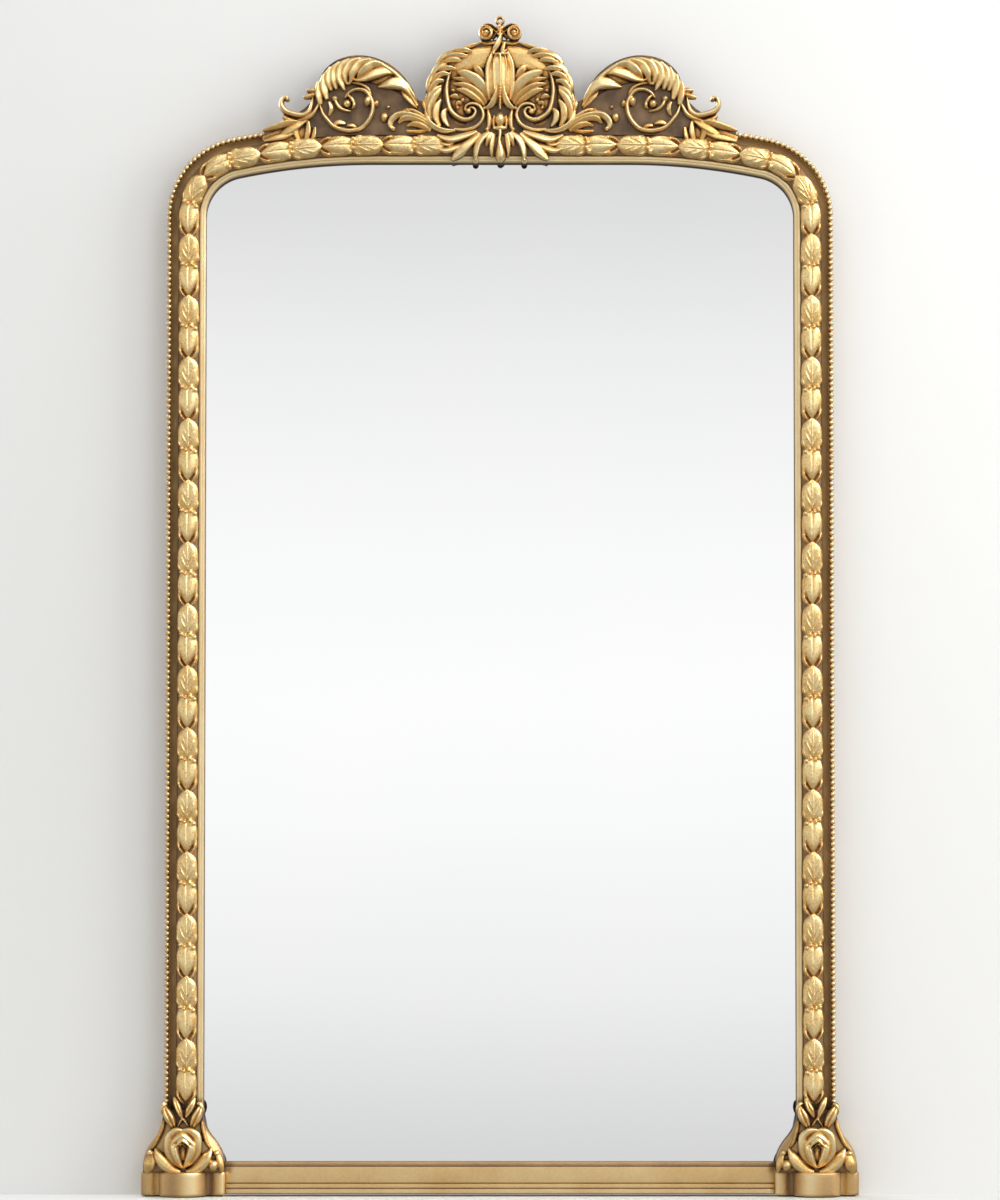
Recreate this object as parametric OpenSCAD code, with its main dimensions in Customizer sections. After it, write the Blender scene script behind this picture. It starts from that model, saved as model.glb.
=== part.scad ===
// Gilt wall mirror with an arched head, a laurel moulding, a carved crest and rose plinths.
// Millimetres, Z up. The frame's back face lies at Y = 0 and its front looks toward -Y.
// X = 0 is the middle and Z = 0 is the underside of the plinths' felt pads.

/* [Opening] */
// Width of the mirror glass seen inside the frame
sight_w = 916; // [860:2:1000]
// Height of the mirror glass seen, from the bottom rail to the middle of the head
sight_h = 1551; // [1400:1:1700]
// Radius of the two tight upper corners of the sight edge
corner_r = 65; // [50:1:90]
// Radius of the long curves of the head at the sight edge
head_r = 1008; // [900:1:1200]
// Length of the straight middle of the head at the sight edge
head_flat = 400; // [340:2:440]

/* [Moulding] */
// Width of the plain gilt band beside the glass
band_w = 10; // [8:0.5:14]
// Width of the laurel roll
laurel_w = 31.5; // [28:0.5:36]
// Width of the hollow outside the laurel roll
cove_w = 11; // [9:0.5:14]
// Width of the seat of the beads at the outer edge
bead_seat_w = 7.5; // [7:0.5:10]
// Depth of the stiles from their back face to the bead seat
edge_d = 34; // [32:0.5:40]
// Depth of the bottom of the hollow
cove_d = 28; // [24:0.5:30]
// Depth of the flat bed that carries the laurel roll
bed_d = 38; // [37:0.5:42]
// Depth of the plain band
band_d = 36; // [33:0.5:37]
// Height of the laurel roll over its bed, without the leaves
roll_h = 8; // [6:0.5:10]
// Diameter of the beads
bead_dia = 7.2; // [6:0.1:7.4]
// Distance between the centres of two beads
bead_pitch = 8.6; // [8:0.1:12]
// Length of one laurel leaf along the moulding
leaf_pitch = 47.8; // [42:0.1:56]

/* [Foot of the frame] */
// Height of the bottom rail above the plinths' underside
rail_h = 50; // [44:1:60]
// Depth of the bottom rail at its lowest band
rail_d = 40; // [36:1:46]
// Height of the plinths' base blocks
base_h = 36; // [30:1:44]
// Width of the plinths' base blocks
base_w = 130; // [120:1:150]
// Depth of the plinths at the bowed front of the base block
base_d = 80; // [74:1:92]
// Height of the whole plinth, up to the foot of the stile
plinth_h = 131; // [120:1:150]
// Depth of the plinth behind the rose
plinth_d = 50; // [44:1:56]
// Thickness of the felt pads under the plinths
felt_t = 2; // [1.5:0.5:4]

/* [Crest] */
// Depth from the back face to the ground of the crest
ground_d = 40; // [39.5:0.5:44]
// Thickness of the wooden board behind the crest
crest_board_t = 15; // [12:1:20]
// Relief scale of the crest carving
relief = 1; // [0.8:0.05:1.3]

/* [Glazing] */
// Thickness of the mirror glass
glass_t = 4; // [3:0.5:5]
// Depth from the back face to the shelf that stops the glass
rabbet_d = 14; // [13:0.5:16]
// Cover of the frame over the edge of the glass
lip_cover = 8; // [6:0.5:8]
// Thickness of the backing board
board_t = 3; // [2.5:0.5:4]

/* [Fittings] */
// Length of a turn button
button_len = 32; // [28:1:36]
// Width of a turn button
button_w = 12; // [10:1:14]
// Thickness of a turn button
button_t = 1.6; // [1.2:0.1:2]
// Shank diameter of the screws of the turn buttons
button_screw_dia = 4; // [3:0.5:4.5]
// Wire diameter of the D rings
ring_wire = 4; // [3:0.5:4.5]
// Inner width of the D rings
ring_inner_w = 26; // [22:1:32]
// Height of the hangers' pivots above the underside
hanger_z = 1380; // [1340:1:1395]
// Thickness of the hanger straps
strap_t = 1.5; // [1.2:0.1:2]
// Width of the hanger straps
strap_w = 18; // [16:1:22]
// Thickness of the steel joint plates
plate_t = 2; // [1.5:0.5:3]
// Thickness of the rubber wall bumpers
bumper_t = 9; // [8.5:0.5:12]
// Diameter of the rubber wall bumpers
bumper_dia = 22; // [18:1:26]
// Diameter of the beech dowels in the corner joints
dowel_dia = 10; // [8:1:12]
// Length of the dowels
dowel_len = 60; // [40:2:70]

/* [Hidden] */

gilt = "goldenrod";
old_gilt = "darkgoldenrod";
umber = "saddlebrown";
steel = "silver";

seat_gap = 0.3;
joint_gap = 0.3;
screw_fit = 0.05;
pivot_fit = 0.08;
dowel_fit = 0.1;
rabbet_gap = 2;

face_w = band_w + laurel_w + cove_w + bead_seat_w;
half_w = sight_w / 2;
outer_half_w = half_w + face_w;
foot_z = felt_t;
rail_z = foot_z + 1.5;
sight_z = foot_z + rail_h;
sight_top = sight_z + sight_h;
rabbet_w = lip_cover + rabbet_gap;
head_axis_x = head_flat / 2;
head_axis_z = sight_top - head_r;
head_angle = asin((half_w - corner_r - head_axis_x) / (head_r - corner_r));
corner_x = half_w - corner_r;
spring_z = head_axis_z + (head_r - corner_r) * cos(head_angle);
stile_z = foot_z + plinth_h + joint_gap;
stile_x = half_w + face_w / 2;
crest_z = sight_top + face_w;
roll_u = band_w + laurel_w / 2;
cove_u = band_w + laurel_w;
bead_u = face_w - bead_seat_w / 2;

// Outline of the moulding: distance outward from the sight edge, depth forward from the back
cove_steps = 6;
moulding = concat(
  [[rabbet_w, 0], [rabbet_w, rabbet_d], [0, rabbet_d], [0, band_d - 4], [1.5, band_d - 2],
   [band_w / 2, band_d - 2], [band_w / 2, band_d], [band_w, band_d], [band_w, bed_d],
   [cove_u, bed_d], [cove_u, cove_d]],
  [for (i = [1:cove_steps]) let (a = 90 * i / cove_steps)
    [cove_u + cove_w * sin(a), edge_d - (edge_d - cove_d) * cos(a)]],
  [[face_w, edge_d], [face_w, 0]]
);

// Sweeps a (distance, depth) outline up a stile from z0 to z1
module along_stile(points, z0, z1) {
  translate([0, 0, z0])
    linear_extrude(height = z1 - z0)
      polygon([for (p = points) [-half_w - p[0], -p[1]]]);
}

// Sweeps a (distance, depth) outline round the left corner of the head
module round_corner(points) {
  translate([-corner_x, 0, spring_z])
    rotate([90, 0, 0])
      rotate_extrude(start = 90 + head_angle, angle = 90 - head_angle, $fn = 180)
        polygon([for (p = points) [corner_r + p[0], p[1]]]);
}

// Sweeps a (distance, depth) outline along the left long curve of the head, between two angles
module along_curve(points, a0, a1) {
  translate([-head_axis_x, 0, head_axis_z])
    rotate([90, 0, 0])
      rotate_extrude(start = 90 + a0, angle = a1 - a0, $fn = 720)
        polygon([for (p = points) [head_r + p[0], p[1]]]);
}

// Sweeps a (distance, depth) outline along the straight middle of the head
module along_flat(points, x0, x1) {
  translate([x0, 0, sight_top])
    rotate([90, 0, 90])
      linear_extrude(height = x1 - x0)
        polygon([for (p = points) [-p[1], p[0]]]);
}

module mirrored() {
  children();
  mirror([1, 0, 0]) children();
}

// A round hole or peg that points away from the front, from depth d0 to depth d1
module peg_y(x, z, dia, d0, d1) {
  translate([x, -d0, z]) rotate([90, 0, 0]) cylinder(d = dia, h = d1 - d0, $fn = 32);
}

// Smooth curve through hand-set points, each held as [x, z, width, height]
function curve_at(p, i, t) =
  let (a = p[max(i - 1, 0)], b = p[i], c = p[i + 1], d = p[min(i + 2, len(p) - 1)])
    0.5 * (2 * b + (c - a) * t + (2 * a - 5 * b + 4 * c - d) * t * t
           + (3 * b - a - 3 * c + d) * t * t * t);
function curve(p, steps) =
  concat([for (i = [0:len(p) - 2], k = [0:steps - 1]) curve_at(p, i, k / steps)], [p[len(p) - 1]]);

// Cross-sections of the carving: [share of the half width, share of the height]
ridge = [[-1, 0], [-0.55, 0.7], [0, 1], [0.55, 0.7], [1, 0]];
blade = [[-1, 0], [0, 1], [1, 0]];

// A carved stroke that lies on the plane at Y = 0 and follows its points
module stroke(points, section = blade, steps = 2) {
  c = curve(points, steps);
  n = len(c);
  m = len(section);
  rings = [for (i = [0:n - 1])
    let (a = c[max(i - 1, 0)], b = c[min(i + 1, n - 1)], dx = b[0] - a[0], dz = b[1] - a[1],
         s = 1 / norm([dx, dz]))
      for (q = section)
        [c[i][0] - dz * s * q[0] * c[i][2] / 2, -c[i][3] * q[1] * relief,
         c[i][1] + dx * s * q[0] * c[i][2] / 2]];
  sides = [for (i = [0:n - 2], j = [0:m - 1]) let (k = (j + 1) % m)
    each [[i * m + j, i * m + k, (i + 1) * m + j], [i * m + k, (i + 1) * m + k, (i + 1) * m + j]]];
  start_cap = [for (j = [m - 1:-1:0]) j];
  end_cap = [for (j = [0:m - 1]) (n - 1) * m + j];
  polyhedron(points = rings, faces = concat(sides, [start_cap], [end_cap]), convexity = 6);
}

// A rounded knob on the plane at Y = 0
module knob(x, z, rx, rz, h, turn = 0) {
  ring_a = [for (a = [0:60:300]) [rx * cos(a), 0, rz * sin(a)]];
  ring_b = [for (a = [0:60:300]) [0.8 * rx * cos(a), -0.65 * h * relief, 0.8 * rz * sin(a)]];
  points = concat(ring_a, ring_b, [[0, -h * relief, 0]]);
  translate([x, 0, z])
    rotate([0, turn, 0])
      hull() polyhedron(points = points, faces = [for (i = [1:len(points) - 2]) [0, i, i + 1]]);
}

// Frame members
module stile_solid() {
  difference() {
    along_stile(moulding, stile_z, spring_z - joint_gap);
    dowel_bores();
    button_bores();
    hanger_bores();
    plate_bores();
  }
}

module stile_left() {
  color(old_gilt) stile_solid();
}

module stile_right() {
  color(old_gilt) mirror([1, 0, 0]) stile_solid();
}

// The joint between the head's middle length and its left corner length
module head_joint() {
  translate([-corner_x, 0, spring_z])
    rotate([0, -head_angle, 0])
      translate([-joint_gap / 2, -base_d, 0])
        cube([joint_gap, base_d + 1, corner_r + face_w + 1]);
}

// The head is made up from a middle length and two corner lengths
module head_rail() {
  color(old_gilt) difference() {
    union() {
      along_flat(moulding, -head_axis_x, head_axis_x);
      mirrored() {
        along_curve(moulding, 0, head_angle);
        round_corner(moulding);
      }
    }
    mirrored() {
      head_joint();
      dowel_bores();
      plate_bores();
    }
    bracket_bores();
  }
}

// Outline of the bottom rail: height above its underside, depth
rail_top = sight_z - rail_z;
rail_profile = [
  [0, 0], [0, rail_d - 2], [1.5, rail_d], [7.5, rail_d], [8, rail_d - 3], [9.5, rail_d - 3],
  [10, rail_d - 1], [15, rail_d - 1], [16, rail_d - 5], [17.5, rail_d - 5], [18, rail_d - 3],
  [rail_top - 7, rail_d - 3], [rail_top - 6, rail_d - 4.5], [rail_top - 2, rail_d - 5],
  [rail_top, rail_d - 7], [rail_top, rabbet_d], [rail_top - rabbet_w, rabbet_d],
  [rail_top - rabbet_w, 0]
];
rail_half = stile_x - base_w / 2 - joint_gap;

module bottom_rail() {
  color(gilt) difference() {
    translate([-rail_half, 0, rail_z])
      rotate([90, 0, 90])
        linear_extrude(height = 2 * rail_half)
          polygon([for (p = rail_profile) [-p[1], p[0]]]);
    mirrored() rail_dowel_bore();
  }
}

// Plinth: a base block with a bowed front, and a bell-shaped body above it
base_bow_r = 36;
base_side_d = 46;
base_round_r = 9.5;
bell_profile = [
  [62, base_h], [62.5, base_h + 8], [60.5, 60], [57, 70], [51, 80], [42, 91], [35, 102],
  [31.5, 114], [face_w / 2, plinth_h - 6], [face_w / 2, plinth_h]
];

module base_block() {
  linear_extrude(height = base_h) difference() {
    union() {
      translate([-base_w / 2, -base_side_d + base_round_r])
        square([base_w, base_side_d - base_round_r]);
      translate([-base_w / 2 + base_round_r, -base_side_d])
        square([base_w - 2 * base_round_r, base_side_d]);
      for (s = [-1, 1])
        translate([s * (base_w / 2 - base_round_r), -base_side_d + base_round_r])
          circle(r = base_round_r, $fn = 48);
      translate([0, -base_d + base_bow_r]) circle(r = base_bow_r, $fn = 96);
    }
    translate([-base_w / 2, 0]) square([base_w, base_bow_r]);
  }
}

module bell_body() {
  other_side = [for (i = [len(bell_profile) - 1:-1:0]) [-bell_profile[i][0], bell_profile[i][1]]];
  rotate([90, 0, 0]) linear_extrude(height = plinth_d) polygon(concat(bell_profile, other_side));
}

// The pocket that lets the glass and the board into the plinth
module glazing_pocket(clear) {
  translate([-half_w - lip_cover - clear, -rabbet_d, sight_z - lip_cover - clear])
    cube([2 * (half_w + lip_cover + clear), rabbet_d + 1, sight_h / 2]);
}

module plinth_solid() {
  difference() {
    translate([-stile_x, 0, foot_z]) union() {
      base_block();
      bell_body();
    }
    glazing_pocket(rabbet_gap);
    dowel_bores();
    rail_dowel_bore();
    plate_bores();
  }
}

module plinth_left() {
  color(old_gilt) plinth_solid();
}

module plinth_right() {
  color(old_gilt) mirror([1, 0, 0]) plinth_solid();
}

// Dowel joints: two at each end of a stile, one at each end of the bottom rail
dowel_u = 28;
dowel_spread = 16;
dowel_d = 24;
rail_dowel_d = 18;
rail_dowel_len = 50;
rail_dowel_z = rail_top / 2 - 6;

module dowel(x, z, dia, len) {
  translate([x, -dowel_d, z - len / 2]) cylinder(d = dia, h = len, $fn = 32);
}

module joint_dowel_set(extra) {
  for (s = [-0.5, 0.5], z = [stile_z - joint_gap / 2, spring_z - joint_gap / 2])
    dowel(-half_w - dowel_u + s * dowel_spread, z, dowel_dia + 2 * extra, dowel_len + 4 * extra);
}

module rail_dowel(extra) {
  len = rail_dowel_len + 4 * extra;
  translate([-rail_half - joint_gap / 2 - len / 2, -rail_dowel_d, rail_z + rail_dowel_z])
    rotate([0, 90, 0]) cylinder(d = dowel_dia + 2 * extra, h = len, $fn = 32);
}

module dowel_bores() {
  joint_dowel_set(dowel_fit);
}

module rail_dowel_bore() {
  rail_dowel(dowel_fit);
}

module joint_dowels() {
  color("burlywood") mirrored() {
    joint_dowel_set(0);
    rail_dowel(0);
  }
}

// Beads: a thin strip with a row of balls
bead_strip_t = 1.2;
bead_base = [[face_w - bead_seat_w + 0.4, edge_d], [face_w - bead_seat_w + 0.4, edge_d + bead_strip_t],
             [face_w, edge_d + bead_strip_t], [face_w, edge_d]];
bead_depth = edge_d + bead_dia / 2;
stile_bead_count = floor((spring_z - stile_z) / bead_pitch);
stile_bead_step = (spring_z - joint_gap - stile_z) / stile_bead_count;
crest_reach = 372;
bead_stop_angle = asin((crest_reach + 1 - head_axis_x) / (head_r + bead_u));
corner_arc_len = (corner_r + bead_u) * (90 - head_angle) * PI / 180;
curve_arc_len = (head_r + bead_u) * (head_angle - bead_stop_angle) * PI / 180;
corner_bead_count = floor(corner_arc_len / bead_pitch);
curve_bead_count = floor(curve_arc_len / bead_pitch);

module bead() {
  sphere(d = bead_dia, $fn = 24);
}

module bead_strip_solid() {
  union() {
    along_stile(bead_base, stile_z, spring_z - joint_gap);
    for (i = [0:stile_bead_count - 1])
      translate([-half_w - bead_u, -bead_depth, stile_z + (i + 0.5) * stile_bead_step]) bead();
  }
}

module head_bead_solid() {
  difference() {
    head_bead_run();
    head_joint();
  }
}

module head_bead_run() {
  union() {
    round_corner(bead_base);
    along_curve(bead_base, bead_stop_angle, head_angle);
    for (i = [0:corner_bead_count - 1])
      let (a = 180 - (i + 0.5) * (90 - head_angle) / corner_bead_count, r = corner_r + bead_u)
        translate([-corner_x + r * cos(a), -bead_depth, spring_z + r * sin(a)]) bead();
    for (i = [0:curve_bead_count - 1])
      let (a = 90 + head_angle - (i + 0.5) * (head_angle - bead_stop_angle) / curve_bead_count,
           r = head_r + bead_u)
        translate([-head_axis_x + r * cos(a), -bead_depth, head_axis_z + r * sin(a)]) bead();
  }
}

module bead_strip_left() {
  color(gilt) bead_strip_solid();
}

module bead_strip_right() {
  color(gilt) mirror([1, 0, 0]) bead_strip_solid();
}

module head_beads_left() {
  color(gilt) head_bead_solid();
}

module head_beads_right() {
  color(gilt) mirror([1, 0, 0]) head_bead_solid();
}

// Laurel: a half-round roll with overlapping leaves and berries in pairs of leaves
roll_profile = [for (i = [0:6]) let (a = 180 - 30 * i)
  [roll_u + laurel_w / 2 * cos(a) * 0.985, bed_d + roll_h * sin(a)]];
leaf_h = 4.5;
berry_r = 3;
laurel_foot = stile_z + 2;
laurel_len = spring_z - joint_gap - laurel_foot;
stile_leaves = floor(laurel_len / leaf_pitch);
stile_leaf_step = laurel_len / stile_leaves;
drop_half = 98;

// One leaf in its own place: it points along +Z and rises toward -Y
module laurel_leaf(step) {
  w = laurel_w / 2;
  crown = roll_h + leaf_h;
  hull_of([
    [-0.4 * w, -roll_h * 0.5, -0.1 * step], [0.4 * w, -roll_h * 0.5, -0.1 * step],
    [-0.85 * w, -roll_h * 0.35, 0.3 * step], [0.85 * w, -roll_h * 0.35, 0.3 * step],
    [-0.5 * w, -crown * 0.93, 0.45 * step], [0.5 * w, -crown * 0.93, 0.45 * step],
    [-0.8 * w, -roll_h * 0.5, 0.7 * step], [0.8 * w, -roll_h * 0.5, 0.7 * step],
    [0, -crown, 0.3 * step], [0, -crown, 0.75 * step],
    [0, -crown * 0.9, 1.04 * step], [0, -roll_h * 0.6, 1.0 * step]
  ]);
}

module hull_of(points) {
  hull() polyhedron(points = points, faces = [for (i = [1:len(points) - 2]) [0, i, i + 1]]);
}

module berries() {
  for (s = [-1, 0, 1])
    translate([s * berry_r * 1.9, -roll_h - 0.6, abs(s) * -berry_r])
      rotate([90, 0, 0]) cylinder(r1 = berry_r, r2 = berry_r * 0.6, h = leaf_h * 0.8, $fn = 6);
}

module laurel_solid() {
  intersection() {
    union() {
      along_stile(roll_profile, stile_z, spring_z);
      for (i = [0:stile_leaves - 1])
        translate([-half_w - roll_u, -bed_d, laurel_foot + i * stile_leaf_step]) {
          laurel_leaf(stile_leaf_step);
          if (i % 2 == 1) berries();
        }
    }
    translate([-outer_half_w, -base_d, stile_z])
      cube([face_w, base_d, spring_z - joint_gap - stile_z]);
  }
}

// Leaves of the head point toward the crest
corner_roll_len = (corner_r + roll_u) * (90 - head_angle) * PI / 180;
curve_roll_len = (head_r + roll_u) * head_angle * PI / 180;
flat_roll_len = head_axis_x - drop_half;
corner_leaves = round(corner_roll_len / leaf_pitch);
curve_leaves = round(curve_roll_len / leaf_pitch);
flat_leaves = round(flat_roll_len / leaf_pitch);

module head_laurel_solid() {
  intersection() {
    head_laurel_run();
    translate([-outer_half_w, -base_d, spring_z])
      cube([outer_half_w - drop_half, base_d, crest_z - spring_z]);
  }
}

module head_laurel_run() {
  union() {
    round_corner(roll_profile);
    along_curve(roll_profile, 0, head_angle);
    along_flat(roll_profile, -head_axis_x, -drop_half);
    for (i = [0:corner_leaves - 1])
      let (step = (90 - head_angle) / corner_leaves, a = 180 - (i + 0.5) * step,
           r = corner_r + roll_u - 2, len = corner_roll_len / corner_leaves)
        translate([-corner_x + r * cos(a), -bed_d, spring_z + r * sin(a)])
          rotate([0, 180 - a, 0]) translate([0, 0, -0.5 * len]) laurel_leaf(len);
    for (i = [0:curve_leaves - 1])
      let (step = head_angle / curve_leaves, a = 90 + head_angle - (i + 0.5) * step,
           r = head_r + roll_u, len = curve_roll_len / curve_leaves)
        translate([-head_axis_x + r * cos(a), -bed_d, head_axis_z + r * sin(a)])
          rotate([0, 180 - a, 0]) translate([0, 0, -0.5 * len]) laurel_leaf(len);
    for (i = [0:flat_leaves - 1])
      translate([-head_axis_x + i * flat_roll_len / flat_leaves, -bed_d, sight_top + roll_u])
        rotate([0, 90, 0]) laurel_leaf(flat_roll_len / flat_leaves * 0.96);
  }
}

module laurel_left() {
  color(gilt) laurel_solid();
}

module laurel_right() {
  color(gilt) mirror([1, 0, 0]) laurel_solid();
}

module head_laurel_left() {
  color(gilt) head_laurel_solid();
}

module head_laurel_right() {
  color(gilt) mirror([1, 0, 0]) head_laurel_solid();
}

// Rose: petals round a bud, leaves below and above; X = 0 is the stile's middle, Z = 0 the rose's middle
rose_z = foot_z + 80;
// Rows of petals: [reach, half width, how many, length, height, turn]
petal_rows = [[26, 15, 5, 16, 12, 36], [19, 11, 5, 12, 17, 0], [12, 8, 4, 8, 21, 20]];
rose_leaves = [
  [[5, -40, 8, 6], [14, -34, 18, 12], [26, -22, 19, 15], [36, -6, 12, 11], [42, 8, 2, 6]],
  [[44, -38, 10, 8], [50, -28, 16, 13], [49, -16, 16, 11], [42, -8, 8, 8]],
  [[6, 30, 6, 5], [14, 40, 10, 8], [22, 50, 11, 9], [29, 58, 6, 8], [33, 60, 3, 5]],
  [[2, 30, 5, 5], [8, 44, 8, 7], [10, 58, 8, 6], [15, 71, 2, 4]]
];
rose_sepal = [[0, 26, 14, 9], [0, 32, 12, 9], [0, 38, 2, 5]];
nut_at = [52, -36];

module petal(r, w, len, h) {
  hull_of([
    [0, 0, 0], [-w, 0, r - 0.3 * len], [w, 0, r - 0.3 * len], [0, 0, r + 1],
    [-0.8 * w, -h, r - 0.5 * len], [0.8 * w, -h, r - 0.5 * len],
    [-0.5 * w, -h * 1.12, r - 0.1 * len], [0.5 * w, -h * 1.12, r - 0.1 * len], [0, -h * 0.7, 0]
  ]);
}

module rose_solid() {
  translate([-stile_x, -plinth_d - seat_gap, rose_z]) intersection() {
    union() {
      for (p = petal_rows, i = [0:p[2] - 1])
        rotate([0, p[5] + 360 * i / p[2], 0]) petal(p[0], p[1], p[3], p[4]);
      knob(0, 0, 5, 6, 24);
      mirrored() {
        for (leaf = rose_leaves) stroke(leaf);
        knob(nut_at[0], nut_at[1], 6, 6, 9);
      }
      stroke(rose_sepal);
    }
    translate([-base_w, -base_d, base_h + foot_z + joint_gap - rose_z])
      cube([2 * base_w, base_d, plinth_h]);
  }
}

module rose_left() {
  color(gilt) rose_solid();
}

module rose_right() {
  color(gilt) mirror([1, 0, 0]) rose_solid();
}

// Crest: outlines are given from the top of the head's outer edge, left half
crest_outline = [
  [0, 128], [-27, 128], [-40, 121], [-56, 112], [-75, 102], [-92, 88], [-103, 72], [-108, 54],
  [-111, 40], [-119, 33], [-128, 37], [-139, 52], [-152, 68], [-169, 81], [-188, 91], [-207, 96],
  [-225, 96], [-244, 91], [-260, 80], [-272, 64], [-282, 48], [-292, 36], [-305, 23], [-320, 13],
  [-336, 5], [-352, -2], [-366, -9]
];

// Lower edge that follows the head at a distance from the sight edge, from the left to the middle
function head_edge(u, reach, steps) =
  concat(
    [for (i = [0:steps]) let (a = asin((reach - head_axis_x) / (head_r + u)) * (1 - i / steps))
      [-head_axis_x - (head_r + u) * sin(a), head_axis_z + (head_r + u) * cos(a) - crest_z]],
    [[0, u - face_w]]
  );

function both_sides(half) = concat(half, [for (i = [len(half) - 2:-1:1]) [-half[i][0], half[i][1]]]);

module crest_plate(u, reach, d0, d1) {
  translate([0, -d0, crest_z])
    rotate([90, 0, 0])
      linear_extrude(height = d1 - d0)
        polygon(both_sides(concat(crest_outline, head_edge(u, reach, 8))));
}

board_reach = 350;

ground_inset = 0.6;

// Everything sideways of the board's ends
module beyond_board() {
  mirrored()
    translate([board_reach, -base_d, crest_z - face_w])
      cube([outer_half_w - board_reach, base_d + 1, 4 * face_w]);
}

module crest_board() {
  color(umber) difference() {
    crest_plate(face_w + seat_gap, board_reach, 0, crest_board_t);
    beyond_board();
    bracket_bores();
  }
}

module crest_ground() {
  color(umber) union() {
    crest_plate(cove_u + ground_inset, crest_reach, edge_d + seat_gap, ground_d);
    difference() {
      crest_plate(face_w + seat_gap, board_reach, crest_board_t + seat_gap, ground_d - 1);
      beyond_board();
    }
  }
}

module on_crest(lift = 0) {
  translate([0, -ground_d - lift, crest_z]) children();
}

// Strokes of the middle of the crest, left half: [x, z, width, height]
inner_scroll = [
  [-75, 84, 3, 6], [-81, 60, 8, 9], [-80, 34, 9, 11], [-73, 17, 9, 12], [-62, 8, 8, 12],
  [-50, 7, 7, 12], [-41, 13, 6, 12], [-40, 22, 6, 12], [-47, 27, 5, 12]
];
outer_scroll = [
  [-54, 27, 4, 9], [-44, 35, 5, 10], [-33, 28, 5, 10], [-27, 15, 5, 10], [-31, 1, 6, 10],
  [-42, -7, 6, 10], [-58, -10, 6, 10], [-75, -10, 7, 10], [-91, -11, 8, 10], [-103, -5, 7, 9],
  [-109, 8, 5, 7]
];
palm_lobes = [
  [[-60, 73, 6, 5], [-50, 77, 12, 9], [-35, 71, 15, 11], [-21, 56, 11, 9], [-13, 42, 5, 5]],
  [[-41, 90, 5, 5], [-33, 80, 11, 9], [-24, 64, 7, 6]],
  [[-68, 63, 4, 4], [-54, 65, 10, 8], [-38, 57, 11, 9], [-20, 38, 6, 6]],
  [[-64, 50, 4, 4], [-50, 52, 9, 7], [-35, 44, 9, 8], [-21, 30, 5, 5]],
  [[-66, 36, 4, 4], [-57, 42, 7, 6], [-49, 40, 4, 5]]
];
shell_folds = [
  [[-9, 108, 5, 8], [-18, 92, 8, 12], [-21, 72, 9, 13], [-16, 50, 7, 12], [-8, 33, 5, 10]],
  [[-5, 108, 6, 12], [-10, 90, 8, 17], [-11, 70, 9, 18], [-8, 48, 7, 15], [-4, 32, 5, 11]],
  [[0, 110, 6, 14], [0, 88, 8, 20], [0, 66, 8, 20], [0, 42, 6, 15], [0, 24, 7, 11]],
  [[-3, 38, 6, 9], [-8, 28, 8, 9], [-23, 21, 3, 5]]
];

module crest_shell() {
  color(gilt) on_crest() union() {
    for (side = [0, 1]) mirror([side, 0, 0]) {
      for (lobe = palm_lobes) stroke(lobe);
      for (fold = shell_folds) stroke(fold, ridge);
      stroke([[-17, 21, 5, 7], [-15, 6, 8, 9], [-19, -10, 5, 6]]);
      stroke(inner_scroll, ridge);
      stroke(outer_scroll, ridge, 2);
      knob(-47, 21, 6, 6, 13);
    }
    knob(0, 7, 7, 10, 15);
    knob(0, 112, 8, 9, 16);
    for (z = [30, 37, 44, 51]) knob(0, z, 3, 3, 19);
    knob(0, -6, 10, 5, 9);
  }
}

// Wreath: two rows of leaflets that climb the outer edge of the middle
wreath_rows = [[106, 92, 9, 178, 112], [91, 78, 7, 172, 122]];
wreath_lift = 35;
leaflet_lean = 34;

// A short pointed leaflet that points along +Z
module leaflet(half_len, w, h) {
  hull_of([
    [0, 0, -half_len], [-w / 2, 0, 0], [w / 2, 0, 0], [-0.4 * w, 0, 0.5 * half_len],
    [0.4 * w, 0, 0.5 * half_len], [0, -h * relief, -0.2 * half_len],
    [0, -0.9 * h * relief, 0.6 * half_len], [0, 0, half_len]
  ]);
}

module wreath_solid() {
  on_crest() difference() {
    union() {
      for (row = wreath_rows, i = [0:row[2] - 1])
        let (a = row[3] + (row[4] - row[3]) * i / (row[2] - 1))
          translate([row[0] * cos(a), 0, wreath_lift + row[1] * sin(a)])
            rotate([0, 180 - a + leaflet_lean, 0]) leaflet(15, 12, 10);
      stroke([[-106, 12, 4, 4], [-110, 26, 8, 8], [-107, 42, 8, 8], [-98, 56, 2, 4]]);
      stroke([[-99, -2, 4, 4], [-103, 12, 8, 9], [-99, 30, 8, 9], [-92, 44, 2, 4]]);
      stroke([[-89, -5, 4, 4], [-93, 8, 9, 9], [-91, 22, 8, 9], [-86, 34, 2, 4]]);
      stroke([[-80, -6, 4, 4], [-84, 6, 7, 8], [-84, 16, 6, 7], [-82, 24, 2, 4]]);
    }
    scroll_clear();
  }
}

// Room for the scrolls, so that the wreath ends at them
module scroll_clear() {
  widen = [0, 0, 1.2, 12];
  for (s = [inner_scroll, outer_scroll])
    translate([0, 1, 0]) stroke([for (p = s) p + widen], [[-1, 0], [-1, 1], [1, 1], [1, 0]], 2);
}

module crest_wreath_left() {
  color(gilt) wreath_solid();
}

module crest_wreath_right() {
  color(gilt) mirror([1, 0, 0]) wreath_solid();
}

// Finial: two rolled volutes, a band under them and a small loop
roll_x = 22;
roll_z = 141;
roll_r = 11.5;
roll_len = 26;
finial_back_d = 32;
finial_foot = 128;
tie_h = 12;
tie_len = 16;
boss_r = 8;
boss_len = 10;
loop_r = 5.5;
loop_wire_r = 2.5;
loop_z = 161;
stem_r = 4;

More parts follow.
